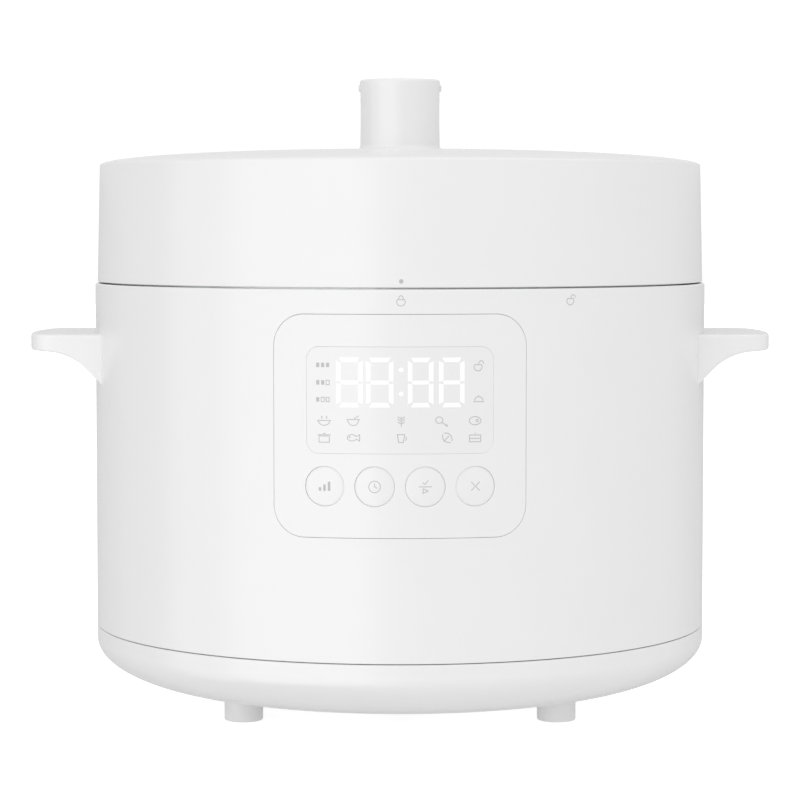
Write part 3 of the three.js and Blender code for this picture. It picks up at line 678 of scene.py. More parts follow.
# Pictograms: strokes about the middle, in units of half the height. A plain list is an open line.
SIGNS = {
    "bowl": [
        arc(0, 0.05, 1.25, 180, 360, 0.8), bar(1.5, 0.05),
        *([(du - 0.1, 0.4), (du + 0.1, 0.7), (du - 0.1, 1.0)] for du in (-0.5, 0.5))],
    "deep_bowl": [arc(0, 0.3, 1.15, 180, 360, 1.1), bar(1.4, 0.3), [(0.2, 0.5), (1.2, 1.1)]],
    "pot": [(LOOP, box(-1.1, 1.1, -1.0, 0.3)), bar(1.4, 0.55), bar(0.3, 0.85)],
    "grain": [
        [(0, -1.1), (0, 0.9)],
        *([(s * 0.14, h), (s * 0.75, h + 0.42)] for s in (-1, 1) for h in (-0.55, 0.0, 0.5))],
    "fish": [
        (LOOP, [*arc(-0.25, 0, 1.0, 25, 335, 0.65), (1.35, -0.65), (1.35, 0.65)]), ring(-0.75, 0.12, 0.1)],
    "leg": [ring(-0.45, 0.2, 0.75, 0.9), [(0.12, -0.3), (0.95, -0.85)], ring(1.1, -0.95, 0.16)],
    "steak": [(LOOP, arc(0, 0, 1.25, 0, 345, 0.68)), ring(0.45, 0.05, 0.25)],
    "cup": [
        (LOOP, [(-0.8, 0.7), (-0.55, -0.95), (0.45, -0.95), (0.7, 0.7)]), arc(0.7, -0.1, 0.4, 70, -70)],
    "leaf": [
        arc(0.35, 0.35, 1.35, 165, 285), arc(-0.35, -0.35, 1.35, -15, 105),
        [(-0.75, -0.75), (0.35, 0.35)]],
    "cake": [(LOOP, box(-1.2, 1.2, -0.9, 0.5)), bar(1.05, -0.2), [(0, 0.66), (0, 1.0)]],
    "cloche": [arc(0, -0.45, 1.0, 0, 180, 0.95), bar(1.3, -0.7), [(0, 0.66), (0, 0.86)]],
    "lock": [(LOOP, arc(0, -0.2, 0.8, 145, 395, 0.95)), arc(0, 0.26, 0.42, 0, 180, 1.7)],
    "open_lock": [
        (LOOP, arc(-0.15, -0.2, 0.8, 145, 395, 0.95)), arc(0.48, 0.34, 0.5, 5, 175, 1.3)],
    "clock": [ring(0, 0, 1.0), [(0, 0.62), (0, 0), (0.45, -0.25)]],
    "cross": [
        [(-0.75, -0.75), (0.75, 0.75)], [(-0.75, 0.75), (-0.12, 0.12)],
        [(0.12, -0.12), (0.75, -0.75)]],
    "bars": [(SOLID, box(d - 0.22, d + 0.22, -0.8, h)) for d, h in ((-0.8, -0.2), (0, 0.3), (0.8, 0.8))],
    "tick_over_play": [
        [(-0.45, 0.72), (-0.12, 0.42), (0.5, 1.1)], bar(1.15, 0),
        (LOOP, [(-0.4, -0.32), (-0.4, -1.12), (0.5, -0.72)])],
}
for level in (1, 2, 3):
    SIGNS[f"level_{level}"] = [
        (SOLID if k < level else LOOP, box(1.15 * k - 1.5, 1.15 * k - 0.8, -0.5, 0.5)) for k in range(3)]


def sign(name, u, z, size):
    """A pictogram centred at (u, z). size is half its height."""
    shapes = []
    for stroke in SIGNS[name]:
        kind, points = stroke if isinstance(stroke, tuple) else ("open", stroke)
        placed = [(u + size * a, z + size * b) for a, b in points]
        shapes.append(filled(placed) if kind == SOLID else line(placed, kind == LOOP))
    return shapes


def printed(name, shapes, body, slot="print_grey"):
    return make(name, *joined(*shapes), body, slot)


# ---- body shells ----


def base_curve(inset, rise, steps):
    reach = BODY_R - 0.06 - BASE_FLAT_R - inset
    low = BASE_Z + rise
    return [(BASE_FLAT_R + reach * (1 - s), low + (BASE_CURVE_TOP - low) * c) for s, c in quarter(steps)]


def base_shell():
    lip = BODY_R - WALL - 0.3
    edge = rounded([(SKIN_R, BASE_CURVE_TOP + 1), (SKIN_R, BASE_EDGE, 0.6), (lip, BASE_EDGE)])[1:-1]
    inside = base_curve(BODY_R - lip + 2, WALL, 24)[::-1]
    profile = [
        (0, BASE_Z), (40, BASE_Z), (79, BASE_Z), *base_curve(0, 0, 48), *edge, (lip, BASE_EDGE),
        (lip, BASE_LIP_TOP), (lip - 2, BASE_LIP_TOP), *inside, (0, BASE_Z + WALL),
    ]
    piece = make("base_skin", *lathe(profile))
    slots = at_angles(block(50, 72, -1.5, 1.5, 0, 12), 6, 30)
    recesses = at_angles(rod(RECESS_R, 0, 12), 3, 90, BASE_SCREW_R)
    carve(piece, tool(*slots, *recesses))
    profile = [(RECESS_R, 9), (BOSS_R, 9), (BOSS_R, 30), (1.9, 30), (1.9, 12), (RECESS_R, 12)]
    boss = lathe(profile, SMALL_ROUND)
    bosses = make("base_bosses", *joined(*at_angles(boss, 3, 90, BASE_SCREW_R)))
    dress(bosses, "base_unit", "shell_white")
    dress(piece, "base_unit", "shell_white", ["base_shell"])


def outer_housing():
    inlet = Outline(INLET_HALF, INLET_LOW, INLET_HIGH, 0.6, -1, TAU / 2 * BODY_R, steps=4)
    hole = framed(PANEL, GROOVE / 2, PANEL["corner"] + GROOVE / 2, -1)
    shape = wrapped((HOUSING_LOW, HOUSING_TOP, 0.3, 0.8), [hole, inlet], BODY_R - WALL, PANEL_FILLET)
    make("housing_skin", *shape, "base_unit", "shell_white", ["outer_housing"])


def button_arc(index):
    return (index - 1.5) * BUTTON_PITCH


def control_panel():
    half_gap = WINDOW_GROOVE / 2
    holes = [framed(WINDOW, half_gap, WINDOW["corner"], -1, steps=8)]
    for index in range(4):
        r = BUTTON_R + BUTTON_GROOVE
        holes.append(Outline(r, BUTTON_Z - r, BUTTON_Z + r, r, -1, button_arc(index), steps=16))
    edge = framed(PANEL, -GROOVE / 2, PANEL["corner"] - GROOVE / 2)
    shape = wrapped(edge, holes, BODY_R - WALL, PANEL_FILLET)
    make("panel_skin", *shape, "base_unit", "panel_white", ["control_panel"])
    window = framed(WINDOW, -half_gap, WINDOW["corner"] - WINDOW_GROOVE, steps=8)
    shape = wrapped(window, [], BODY_R - WINDOW_THICK, WINDOW_FILLET)
    make("window_skin", *shape, "base_unit", "window_white", ["display_window"])


def button(index, name):
    """A faintly domed cap with its shoulder and stem, turned about the radius through its middle."""
    edge = SKIN_R - BUTTON_CROWN
    profile = [
        *((BUTTON_R * k / 12, SKIN_R - BUTTON_CROWN * (k / 12) ** 2) for k in range(12)),
        (BUTTON_R - 0.14, edge - 0.02), (BUTTON_R - 0.04, edge - 0.06), (BUTTON_R, edge - 0.16),
        (BUTTON_R, edge - 0.7), (BUTTON_R, 131), (9.2, 131), (9.2, 129.2), (2, 129.2), (2, 126), (0, 126),
    ]
    verts, faces = lathe(profile, 96)
    verts = [on_wall(button_arc(index) + x, BUTTON_Z + y, r) for x, y, r in verts]
    make(f"key_{name}", verts, faces, f"{name}_key", "panel_white", [f"button_{name}"])


def rim_ring():
    profile = [
        (124, 174), (131.2, 174), (131.2, 180), (133.7, 180), (133.7, 186.4, 0.4), (129.4, 186.4, 0.4),
        (129.4, 178), (124, 178),
    ]
    make("rim_skin", *lathe(rounded(profile, 3)), "base_unit", "trim_white", ["rim_ring"])


def foot(name, x, y):
    profile = rounded([(0, 0), (FOOT_R, 0, 0.8), (FOOT_R, FOOT_HIGH), (0, FOOT_HIGH)], 4)
    shape = lathe(profile, SMALL_ROUND, (x, y))
    make(f"{name}_skin", *shape, "base_unit", "foot_white", [name])


# ---- side handles ----


def handle_under(x):
    """Height of the handle's underside: it sweeps out of the body and flattens towards the tip."""
    if x < 136.5:
        return 138 + (x - 126) * 10.8 / 10.5
    if x > 152:
        return 157.2 + (x - 152) * 1.3 / 18
    t = (-12 + sqrt(144 + 14 * (x - 136.5))) / 7
    return (1 - t) ** 2 * 148.8 + 2 * t * (1 - t) * 155.6 + t * t * 157.2


def handle_outline():
    """Half of the plan outline, from inside the body to the middle of the tip, with outward normals."""
    cy = HANDLE_HALF - HANDLE_CORNER
    cx = sqrt((HANDLE_TIP_R - HANDLE_CORNER) ** 2 - cy ** 2)
    turn = atan2(cy, cx)
    out = [(HANDLE_ROOT + (cx - HANDLE_ROOT) * k / 26, HANDLE_HALF, 0.0, 1.0) for k in range(26)]
    turns = [(cx, cy, HANDLE_CORNER, TAU / 4 + (turn - TAU / 4) * k / 12) for k in range(13)]
    turns += [(0, 0, HANDLE_TIP_R, turn * (1 - k / 16)) for k in range(1, 17)]
    for x, y, r, a in turns:
        nx, ny = cos(a), sin(a)
        out.append((x + r * nx, y + r * ny, nx, ny))
    return out


def handle_rows(top_fillet, low_fillet):
    """Rows from the top down to the underside: inset, height, and whether it is measured from the top."""
    rows = [(top_fillet + SUPPORT, 0, True)]
    rows += [(top_fillet * s, -top_fillet * c, True) for s, c in quarter(5)]
    rows += [(0, -top_fillet - SUPPORT, True), (0, low_fillet + SUPPORT, False)]
    rows += [(low_fillet * c, low_fillet * s, False) for s, c in quarter(5)]
    return [*rows, (low_fillet + SUPPORT, 0, False)]


def handle_solid(inset, top, under, top_fillet, low_fillet):
    half = [(x - inset * nx, y - inset * ny, nx, ny) for x, y, nx, ny in handle_outline()]
    verts, faces, grid = [], [], []
    for shrink, rise, from_top in handle_rows(top_fillet, low_fillet):
        line_of = {}
        for side in (1, -1):
            for k, (x, y, nx, ny) in enumerate(half):
                px, py = x - shrink * nx, y - shrink * ny
                line_of[side, k] = len(verts)
                verts.append((px, side * max(py, 0), (top if from_top else under(px)) + rise))
        grid.append(line_of)
    for k in range(len(half) - 1):
        for a, b in zip(grid, grid[1:]):
            faces += [[a[side, k], a[side, k + 1], b[side, k + 1], b[side, k]] for side in (1, -1)]
        for row in (grid[0], grid[-1]):
            faces.append([row[1, k], row[1, k + 1], row[-1, k + 1], row[-1, k]])
    faces.append([row[1, 0] for row in grid] + [row[-1, 0] for row in reversed(grid)])
    return verts, faces


def body_tool(radius):
    return tool(lathe([(0, 100), (radius, 100), (radius, 200), (0, 200)], 512))


def handles():
    piece = make("handle_right_skin", *handle_solid(0, HANDLE_TOP, handle_under, 1.2, 0.8))
    hollow = tool(handle_solid(HANDLE_WALL, HANDLE_TOP - HANDLE_WALL, lambda _: 120.0, 1.5, 0.4))
    carve(hollow, body_tool(BODY_R + 0.3 + HANDLE_WALL))
    carve(piece, body_tool(SKIN_R - 0.03), hollow)
    boss = make("handle_right_boss", *block(138.5, 144.5, -7, 7, 155.5, 162.5))
    for source, stands_for in ((piece, ["handle_right"]), (boss, [])):
        twin = link(source.name.replace("right", "left"), source.data.copy())
        for v in twin.data.vertices:
            v.co.x, v.co.y = -v.co.x, -v.co.y
        dress(source, "base_unit", "shell_white", stands_for)
        dress(twin, "base_unit", "shell_white", [n.replace("right", "left") for n in stands_for])
    softened(boss, 0.3)
    softened(twin, 0.3)


# ---- lid ----


def lid_dome(inset, steps):
    reach = LID_RIM_R - inset
    end = acos(LID_BORE_R / reach)
    out = []
    for k in range(steps + 1):
        t = end * (k / steps) ** 1.4
        out.append((reach * cos(t), LID_RIM - inset + LID_RISE * sin(t)))
    return out


def lid_cover():
    low = rounded([
        (LID_RIM_R, LID_RIM), (LID_BOTTOM_R - WALL, LID_BOTTOM, 0.3), (LID_BOTTOM_R, LID_BOTTOM, 0.45),
    ])[1:]
    lean, high = LID_RIM_R - LID_BOTTOM_R, LID_RIM - LID_BOTTOM
    wall = [(LID_BOTTOM_R + lean * k / 8, LID_BOTTOM + high * k / 8) for k in range(1, 8)]
    near_rim = (LID_RIM_R + 0.01, LID_RIM - 0.4)
    profile = [*low, *wall, near_rim, *lid_dome(0, 56), *lid_dome(WALL, 24)[::-1]]
    make("lid_skin", *lathe(profile), "lid", "shell_white", ["lid_cover"])


def knob():
    low = LID_TOP - 0.1
    base = [(KNOB_R + KNOB_FLARE * s, low + 0.25 + KNOB_FLARE * c) for s, c in quarter(6)]
    wall = rounded([
        (KNOB_WAIST_R, 262), (KNOB_TOP_R, KNOB_TOP, 1.25), (KNOB_BORE_R, KNOB_TOP, 0.4),
        (KNOB_BORE_R, KNOB_FLOOR)], 6)
    side = [(KNOB_R, low + 2.2), (KNOB_R - 0.06, 253), (KNOB_WAIST_R + 0.02, 257)]
    waist = [(KNOB_WAIST_R + 0.02, 266), (KNOB_WAIST_R + 0.16, 271)]
    profile = [
        (PIPE_HOLE_R, low), (KNOB_R + KNOB_FLARE, low), *base, *side, wall[0], *waist, *wall[1:],
        (PIPE_HOLE_R, KNOB_FLOOR)]
    piece = make("knob_skin", *lathe(profile, MID_ROUND))
    tab_slots = at_angles(block(13, 22, -1.85, 1.85, 269.1, 275.2), 2, 0)
    steam_slot = block(-7, 7, 10, 22, 254, 258.5)
    carve(piece, tool(*tab_slots, steam_slot))
    dress(piece, "lid", "shell_white", ["lid_knob"])


def release_button():
    top, outer, low = KNOB_TOP - 0.3, KNOB_BORE_R - 0.35, 268
    under = top - 2.8
    profile = rounded([
        (0, top), (outer, top, 0.7), (outer, low), (outer - 1.8, low), (outer - 1.8, under), (3.2, under),
        (3.2, low), (1.7, low), (1.7, under), (0, under),
    ])
    piece = make("release_skin", *lathe(profile, MID_ROUND))
    tabs = at_angles(block(13.4, 18.6, -1.6, 1.6, 272.4, 275), 2, 0)
    carve(piece, tool(*tabs), operation="UNION")
    dress(piece, "release", "shell_white", ["release_button"])
    softened(piece, 0.35, 60)


# ---- inside: pots, heater, lid ----
FLOAT = (48, -28)
PLUG = (-48, 28)
# Turned pieces: node, body, finish and profile, and the centres of those that are off the axis.
TURNED = (
    ("heating_plate", "base_unit", "cast_aluminium", [
        (16, 34.5), (30, 34.5), (30, 38), (74, 38), (74, 34.5), (86, 34.5), (88, 36.5), (88, 44.2, 1.2),
        (86.5, 45.7, 1.2), (80, 45.7), (48, 45.7), (16, 45.7, 0.5)]),
    ("temperature_sensor", "sensor", "cast_aluminium", [
        (0, 37.9), (13, 37.9), (13, 45.7, 1.0), (0, 45.7)]),
    ("sensor_holder", "base_unit", "steel", [
        (0, 27.5), (15.4, 27.5, 0.6), (15.4, 40, 0.3), (14.2, 40, 0.3), (14.2, 28.9), (0, 28.9)]),
    ("inner_pot", "cooking_pot", "cast_aluminium", [
        (0, 46), (60, 46), (112, 46, 12), (112, 179.8, 0.8), (119, 179.8, 0.9), (119, 182, 0.9),
        (110, 182, 2.0), (110, 48, 10), (60, 48), (0, 48)]),
    ("sealing_ring", "seal", "silicone", [
        (118, 182.3, 0.8), (118, 186, 0.8), (111.5, 186, 0.4), (111.5, 184.9, 0.4), (116.2, 184.9, 0.5),
        (116.2, 183.4, 0.5), (111.5, 183.4, 0.4), (111.5, 182.3, 0.4)]),
    ("exhaust_pipe", "lid", "steel", [
        (2.2, 199.6), (4, 199.6, 0.3), (4, 201.4), (8, 201.4, 0.3), (8, 203.5, 0.3), (4, 203.5),
        (4, 256, 0.3), (2.2, 256)]),
    ("exhaust_valve", "release", "steel", [
        (0, 196.5), (3.4, 196.5, 0.4), (3.4, 198.6), (1.4, 199.3), (1.4, 274.1), (0, 274.1)]),
    ("float_valve", "float", "steel", [
        (0, 188.6), (5.2, 188.6, 0.5), (5.2, 190.1, 0.3), (2.5, 190.1), (2.5, 202.3), (4.6, 202.3, 0.3),
        (4.6, 204.3, 0.8), (0, 204.3)]),
    ("float_gasket", "lid", "silicone", [
        (3, 194.4, 0.5), (6.5, 194.4, 0.6), (6.5, 196.1), (3, 196.1)]),
    ("safety_plug", "lid", "silicone", [
        (0, 193.4), (6, 193.4, 0.9), (6, 196.1, 0.4), (3.4, 196.1), (3.4, 202.3), (5.2, 202.3, 0.4),
        (5.2, 204.5, 0.9), (0, 204.5)]),
)
CENTRES = {"float_valve": FLOAT, "float_gasket": FLOAT, "safety_plug": PLUG}
# Rows of equal screws: name, circle, first angle, height of the underside of the head, head radius
# and thickness, shank radius and length, body.
SCREWS = (
    ("base_screw", BASE_SCREW_R, 90, 11.7, (3.8, 2.1, 1.5, 25.3), "base_unit"),
    ("lid_screw", LID_SCREW_R, 30, 192.3, (3.2, 1.7, 1.5, 10.7), "lid"),
)
WIRE_R = 0.7
END_TURNS, END_PITCH = 0.9, 1.5  # the turns at each end of a spring lie close together
# node, body, joint, radius of the coil, its lowest and highest points, turns, travel of the joint
SPRINGS = (
    ("sensor_spring", "base_unit", "sensor_press", 8.5, 29.2, 37.6, 3, 2),
    ("release_spring", "lid", "release_press", 9, 252.3, 274.1, 5, 3),
)


def outer_pot():
    profile = rounded([
        (17, 33), (60, 33), (111, 33, 2.5), (115.7, 37.5, 2.5), (115.7, 178.3, 1.5), (129, 178.3, 1.2),
        (129, 189.3, 0.5), (127.8, 189.3, 0.5), (127.8, 179.5, 0.8), (114.5, 179.5, 1.5), (114.5, 38, 2),
        (110.5, 34.2, 2), (60, 34.2), (17, 34.2),
    ])
    shape = joined(lathe(profile), *lugs(122.5, 128.4, 186.5, 188.8))
    make("outer_pot_skin", *shape, "base_unit", "steel", ["outer_pot"])


def inner_lid():
    low = []
    for k in range(41):
        r = 4.4 + 95.6 * k / 40
        low.append((r, 186.3 + 17.7 * (1 - (r / 100) ** 2)))
    high = [(r, z + 1.5) for r, z in reversed(low)]
    rim = rounded([
        (100, 186.3), (119.5, 186.3), (119.5, 183.5), (121, 183.5, 0.3), (121, 187.8, 0.8), (100, 187.8),
    ])[1:-1]
    piece = make("inner_lid_skin", *lathe([*low, *rim, *high]))
    carve(piece, tool(rod(8, 196.4, 202, FLOAT), rod(8, 196.4, 202, PLUG)), operation="UNION")
    carve(piece, tool(rod(3.2, 190, 210, FLOAT), rod(3.8, 190, 210, PLUG)))
    dress(piece, "lid", "steel", ["inner_lid"])
    stud = lathe([(0, 187), (2, 187), (2, 198.2), (1.7, 198.5), (0, 198.5)], SMALL_ROUND)
    extras = joined(*lugs(120.2, 126.5, 183.5, 186.2), *at_angles(stud, 3, 30, STUD_CIRCLE_R))
    softened(make("lid_lugs", *extras, "lid", "steel"), 0.35)


def lid_liner():
    profile = rounded([
        (102.5, 190.2, 0.6), (132.4, 190.2, 0.6), (132.4, 194, 0.4), (104.5, 194), (104.5, 199, 0.4),
        (102.5, 199, 0.4)])
    piece = make("liner_skin", *lathe(profile))
    recess = lathe([(0, 185), (3.7, 185), (3.7, 192.6), (1.9, 192.6), (1.9, 196), (0, 196)], SMALL_ROUND)
    stud_hole = rod(2.4, 185, 197)
    carve(piece, tool(*at_angles(recess, 3, 30, LID_SCREW_R), *at_angles(stud_hole, 3, 30, STUD_CIRCLE_R)))
    dress(piece, "lid", "trim_white", ["lid_liner"])


def anti_block_shield():
    profile = rounded([(0, 190), (14, 190, 1.5), (14, 203.2), (12.8, 203.2), (12.8, 191.2, 0.8), (0, 191.2)])
    piece = make("shield_skin", *lathe(profile, MID_ROUND))
    carve(piece, tool(*at_angles(block(10, 16, -2, 2, 193, 200), 6, 30)))
    dress(piece, "lid", "steel", ["anti_block_shield"])


def cross_screw(node, x, y, z, sizes, body):
    """A pan-head screw with a cross recess, its head down."""
    head_r, head_t, shank_r, length = sizes
    profile = rounded([
        (0, z - head_t), (head_r, z - head_t, head_t * 0.6), (head_r, z, 0.2), (shank_r, z),
        (shank_r, z + length), (0, z + length)])
    piece = make(f"{node}_skin", *lathe(profile, SMALL_ROUND, (x, y)))
    reach, half = head_r * 0.55, head_r * 0.13
    for a, b in ((reach, half), (half, reach)):
        carve(piece, tool(block(x - a, x + a, y - b, y + b, z - head_t - 1, z - head_t * 0.45)))
    dress(piece, body, "zinc_steel", [node])


def coil_spring(node, body, joint, radius, low, high, turns, travel):
    """A spring with closed ends: a round wire wound as a coil."""
    pitch = (high - low - 2 * WIRE_R - 2 * END_TURNS * END_PITCH) / (turns - 2 * END_TURNS)
    wire = [(WIRE_R * cos(TAU * j / 12), WIRE_R * sin(TAU * j / 12)) for j in range(12)]
    sections = []
    for step in range(40 * turns + 1):
        at = step / 40
        closed = min(at, END_TURNS) + max(at - turns + END_TURNS, 0)
        middle = low + WIRE_R + closed * END_PITCH + (at - closed) * pitch
        c, s = cos(TAU * at), sin(TAU * at)
        sections.append([((radius + dr) * c, (radius + dr) * s, middle + dz) for dr, dz in wire])
    coil = make(f"{node}_coil", *swept(sections), body, "zinc_steel", [node])
    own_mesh(coil)


def insides():
    for node, body, slot, profile in TURNED:
        facets = BIG_ROUND if max(profile)[0] > 50 else SMALL_ROUND
        shape = lathe(rounded(profile), facets, CENTRES.get(node, (0, 0)))
        make(f"{node}_skin", *shape, body, slot, [node])
    outer_pot()
    inner_lid()
    lid_liner()
    anti_block_shield()
    for name, circle, first, z, sizes, body in SCREWS:
        for index in range(3):
            a = radians(first + 120 * index)
            cross_screw(f"{name}_{index + 1}", circle * cos(a), circle * sin(a), z, sizes, body)
    for spring in SPRINGS:
        coil_spring(*spring)
    for node in ("power_inlet", "inlet_pin_live", "inlet_pin_neutral", "inlet_pin_earth"):
        softened(frame["nodes"][node], 0.4)


# ---- the display and the marks ----
DIGITS = ((-25.75, -15.35), (-13.6, -2.85), (3.35, 13.35), (16.0, 26.1))
DIGIT_LOW, DIGIT_HIGH = 139.45, 159.2
SEGMENT = 1.45  # width of a lit segment
CORNER_CUT = 1.35  # how far each segment stays from the digit's corner
COLON_U, COLON_R, COLON_Z = 0.5, 0.75, (154.5, 144.8)
HALO_REACH = 0.32
HALO_R = PRINT_R - 0.015
# Rows of pictograms on the window: their height, half the size of a sign, and each sign's place.
ROWS = (
    (156.3, 1.8, (("level_3", -31.6),)),
    (149.2, 1.8, (("level_2", -31.6),)),
    (142.3, 1.8, (("level_1", -31.6),)),
    (155.9, 2.1, (("open_lock", 32.2),)),
    (142.6, 1.7, (("cloche", 32.2),)),
    (133.7, 1.95, (("bowl", -31), ("deep_bowl", -19), ("grain", 0.5), ("leg", 16.8), ("steak", 30.7))),
    (126.9, 1.95, (("pot", -31), ("fish", -19), ("cup", 0.5), ("leaf", 19.2), ("cake", 30.7))),
)
KEY_SIGNS = ("bars", "clock", "tick_over_play", "cross")
KEY_SIGN = 2.35
LOCKS = (("lock", 0.4, 182.3), ("open_lock", 73.6, 182.2))
LOCK_SIGN = 2.15
DOT_U, DOT_Z, DOT_R = 0.5, 190.1, 0.9


def digit(left, right):
    """Seven segments with mitred ends, apart from each other at every corner."""
    middle = (DIGIT_LOW + DIGIT_HIGH) / 2
    slope = 0.6 * SEGMENT
    shapes = []
    for z, side in ((DIGIT_HIGH, -1), (DIGIT_LOW, 1)):
        start, end, inner = left + CORNER_CUT, right - CORNER_CUT, z + side * SEGMENT
        shapes.append([(start, z), (end, z), (end - slope, inner), (start + slope, inner)])
    for u, side in ((left, 1), (right, -1)):
        for z, way in ((DIGIT_HIGH, 1), (DIGIT_LOW, -1)):
            inner, start, end = u + side * SEGMENT, middle + way * 0.55, z - way * CORNER_CUT
            shapes.append([(u, start), (u, end), (inner, end - way * slope), (inner, start + way * 0.35)])
    h = 0.42 * SEGMENT
    start, end = left + SEGMENT + 0.1, right - SEGMENT - 0.1
    shapes.append([
        (start, middle), (start + h, middle - h), (end - h, middle - h), (end, middle), (end - h, middle + h),
        (start + h, middle + h)])
    return shapes


def grown(points, by):
    """A convex outline with every corner moved out."""
    cu, cz = (sum(p[k] for p in points) / len(points) for k in (0, 1))
    half_u, half_z = (max(abs(p[k] - c) for p in points) for k, c in ((0, cu), (1, cz)))
    return [(cu + (u - cu) * (1 + by / half_u), cz + (z - cz) * (1 + by / half_z)) for u, z in points]


def display_marks():
    lit_shapes = [shape for left, right in DIGITS for shape in digit(left, right)]
    lit_shapes += [disc(COLON_U, z, COLON_R) for z in COLON_Z]
    printed("lit_digits", [filled(shape) for shape in lit_shapes], "base_unit", "display_light")
    halo = [filled(grown(shape, HALO_REACH), HALO_R) for shape in lit_shapes]
    printed("lit_halo", halo, "base_unit", "display_light").data.materials[0] = HALO
    marks = []
    for z, size, signs in ROWS:
        for name, u in signs:
            marks += sign(name, u, z, size)
    printed("panel_marks", marks, "base_unit")


def key_marks():
    """Marks on the domed keys, each sunk to follow its key."""
    for index, (name, picture) in enumerate(zip(BUTTONS, KEY_SIGNS)):
        u = button_arc(index)
        verts, faces = joined(*sign(picture, u, BUTTON_Z, KEY_SIGN))
        sunk = []
        for x, y, z in verts:
            along = BODY_R * atan2(x, -y)
            reach = hypot(along - u, z - BUTTON_Z)
            r = hypot(x, y) - BUTTON_CROWN * (reach / BUTTON_R) ** 2
            sunk.append(on_wall(along, z, r))
        make(f"mark_{name}", sunk, faces, f"{name}_key", "print_grey")


def lock_marks():
    """The two padlocks on the housing, and the dot on the lid's sloping wall above them."""
    printed("lock_marks", [shape for name, u, z in LOCKS for shape in sign(name, u, z, LOCK_SIGN)], "base_unit")
    verts, faces = filled(disc(DOT_U, DOT_Z, DOT_R))
    slope = (LID_RIM_R - LID_BOTTOM_R) / (LID_RIM - LID_BOTTOM)
    moved = []
    for x, y, z in verts:
        r = hypot(x, y) - SKIN_R + LID_BOTTOM_R + slope * (z - LID_BOTTOM)
        moved.append(on_wall(BODY_R * atan2(x, -y), z, r))
    make("lid_mark", moved, faces, "lid", "print_grey")


# ---- stage, in metres ----
# Brightness is radiance throughout.
SKY_GLOW, FLOOR_GLOW, KEY_GLOW, ROOF_GLOW = 0.76, 0.377, 0.03, 1.4
# Soft lobes of the sky: azimuth from the front (positive to the right), elevation, sharpness, brightness.
LOBES = ((0, 15, 1.0, 0.49), (-40, 20, 6.0, 0.02), (0, 85, 4.0, 0.2))
# The soft box: azimuth, height, distance, size, and the height that it points at.
KEY_AZIMUTH, KEY_HEIGHT, KEY_DISTANCE, KEY_SIZE, KEY_AIM = -44, 0.45, 1.8, (1.2, 2.0), 0.13
# Upright cards seen only in reflections: brightness, azimuth, distance, width, lowest and highest edge.
CARDS = {
    "band": (3.1, -35.6, 1.3, 1.342, -1.2, 1.2), "wing": (1.9, -76.5, 1.3, 0.631, -1.2, 1.2),
    "fade": (1.6, -2.15, 1.3, 0.28, -1.2, 1.2), "backdrop": (0.59, 180, 1.0, 2.9, -0.8, 0.26)}
ROOF_HEIGHT, ROOF_HALF = 1.3, 0.8  # a level card over the object
FLOOR_HALF = 6.0
FLOOR_SEEN = 0.74  # how bright the camera sees the floor where nothing lights it
SKY_SEEN = 1.05  # how bright the camera sees the world
BLACK, PAPER, LIGHT = (0, 0, 0, 1), (0.55, 0.55, 0.55, 1), (1, 1, 1, 1)
EYE = (0, -1.2795, 0.2144)
EYE_DOWN = 3.609  # degrees below the horizontal
LENS, SENSOR = 127.7, 36


def staged_sheet(name, corners, nodes):
    mesh = bpy.data.meshes.new(name)
    mesh.from_pydata(corners, [], [(0, 1, 2, 3)])
    mesh.materials.append(nodes.owner)
    sheet = link(name, mesh)
    return sheet


def level_square(half, z):
    return [(x * half, y * half, z) for x, y in ((-1, -1), (1, -1), (1, 1), (-1, 1))]


def key_light():
    lamp = bpy.data.lights.new("key", "AREA")
    lamp.shape = "RECTANGLE"
    lamp.size, lamp.size_y = KEY_SIZE
    lamp.energy = KEY_GLOW * pi * lamp.size * lamp.size_y
    a = radians(KEY_AZIMUTH)
    place = Vector((KEY_DISTANCE * sin(a), -KEY_DISTANCE * cos(a), KEY_HEIGHT))
    holder = link("key", lamp)
    holder.location = place
    holder.rotation_euler = (Vector((0, 0, KEY_AIM)) - place).to_track_quat("-Z", "Y").to_euler()


def upright(azimuth, distance, width, low, high):
    """Corners of an upright card that faces the axis."""
    a = radians(azimuth)
    out = Vector((sin(a), -cos(a), 0)) * distance
    along = Vector((cos(a), sin(a), 0)) * width / 2
    return [out + side * along + Vector((0, 0, z)) for side, z in ((-1, low), (1, low), (1, high), (-1, high))]


def card(name, glow, corners):
    """A glowing card that only reflections see, as photographers use to shape a highlight."""
    n = Nodes(bpy.data.materials.new(name))
    n.owner.cycles.emission_sampling = "NONE"
    n.set(n.shader, Base_Color=BLACK, Specular_IOR_Level=0.0, Emission_Color=LIGHT, Emission_Strength=glow)
    sheet = staged_sheet(name, corners, n)
    for ray in ("camera", "diffuse", "shadow", "transmission", "volume_scatter"):
        setattr(sheet, f"visible_{ray}", False)


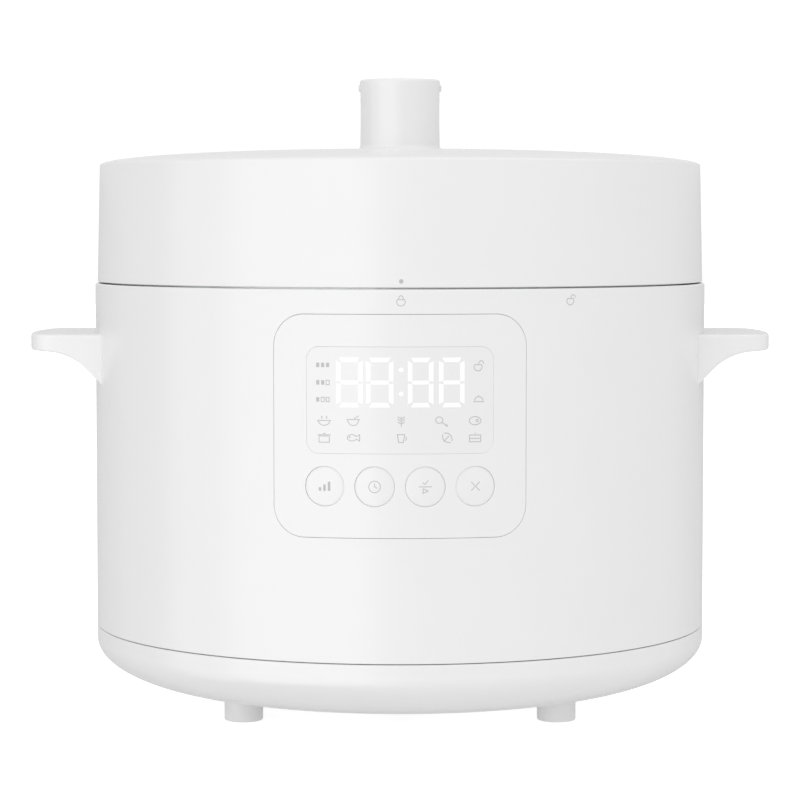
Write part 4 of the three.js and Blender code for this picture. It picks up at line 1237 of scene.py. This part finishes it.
def floor():
    """Pale paper, lit evenly, seen from above only and left out of reflections."""
    n = Nodes(bpy.data.materials.new("paper"))
    seen = n.add("ShaderNodeLightPath").outputs["Is Camera Ray"]
    level = n.add("ShaderNodeMapRange", Value=seen, To_Min=FLOOR_GLOW, To_Max=FLOOR_SEEN)
    n.set(n.shader, Base_Color=PAPER, Roughness=0.9, Specular_IOR_Level=0.0, Emission_Color=LIGHT)
    n.set(n.shader, Emission_Strength=level.outputs["Result"])
    below = n.add("ShaderNodeNewGeometry").outputs["Backfacing"]
    clear = n.add("ShaderNodeBsdfTransparent").outputs["BSDF"]
    either = n.add("ShaderNodeMixShader", below, n.shader.outputs["BSDF"], clear)
    n.set(n.tree.nodes["Material Output"], Surface=either.outputs["Shader"])
    staged_sheet("floor", level_square(FLOOR_HALF, 0), n).visible_glossy = False


def sky_level(n):
    """Brightness of the sky by direction: an even part and a few soft lobes."""
    facing = n.add("ShaderNodeTexCoord").outputs["Generated"]

    def worked(operation, first, second):
        return n.add("ShaderNodeMath", first, second, operation=operation).outputs["Value"]

    total = SKY_GLOW
    for azimuth, elevation, sharpness, glow in LOBES:
        a, e = radians(azimuth), radians(elevation)
        middle = (sin(a) * cos(e), -cos(a) * cos(e), sin(e))
        towards = n.add("ShaderNodeVectorMath", facing, middle, operation="DOT_PRODUCT").outputs["Value"]
        lobe = worked("POWER", worked("MAXIMUM", towards, 0.0), sharpness)
        total = worked("ADD", worked("MULTIPLY", lobe, glow), total)
    return total


def sky():
    scene = bpy.context.scene
    scene.world = bpy.data.worlds.new("studio")
    n = Nodes(scene.world)
    light = n.tree.nodes["Background"]
    n.set(light, Color=LIGHT, Strength=sky_level(n))
    seen = n.add("ShaderNodeBackground", Color=LIGHT, Strength=SKY_SEEN)
    path = n.add("ShaderNodeLightPath").outputs["Is Camera Ray"]
    mix = n.add("ShaderNodeMixShader", path, light.outputs["Background"], seen.outputs["Background"])
    n.set(n.tree.nodes["World Output"], Surface=mix.outputs["Shader"])


def studio():
    bpy.context.scene.view_settings.view_transform = "Standard"
    sky()
    floor()
    key_light()
    for name, (glow, *place) in CARDS.items():
        card(name, glow, upright(*place))
    card("roof", ROOF_GLOW, level_square(ROOF_HALF, ROOF_HEIGHT))


def camera():
    eye = bpy.data.cameras.new("eye")
    eye.lens = LENS
    eye.sensor_width = SENSOR
    holder = link("eye", eye)
    holder.location = EYE
    holder.rotation_euler = (radians(90 - EYE_DOWN), 0, 0)
    bpy.context.scene.camera = holder


# ---- everything ----
camera()
studio()
base_shell()
outer_housing()
control_panel()
for number, key in enumerate(BUTTONS):
    button(number, key)
rim_ring()
for place, sx, sy in (("front_left", -1, -1), ("front_right", 1, -1), ("rear_right", 1, 1), ("rear_left", -1, 1)):
    foot(f"foot_{place}", FOOT_OFFSET * sx, FOOT_OFFSET * sy)
handles()
lid_cover()
knob()
release_button()
insides()
display_marks()
key_marks()
lock_marks()

slots = {row["node"]: row["material_slot"] for row in frame["record"]["subparts"]}
for node, thing in frame["nodes"].items():
    thing.data.materials.clear()
    thing.data.materials.append(MATERIALS[slots[node]])
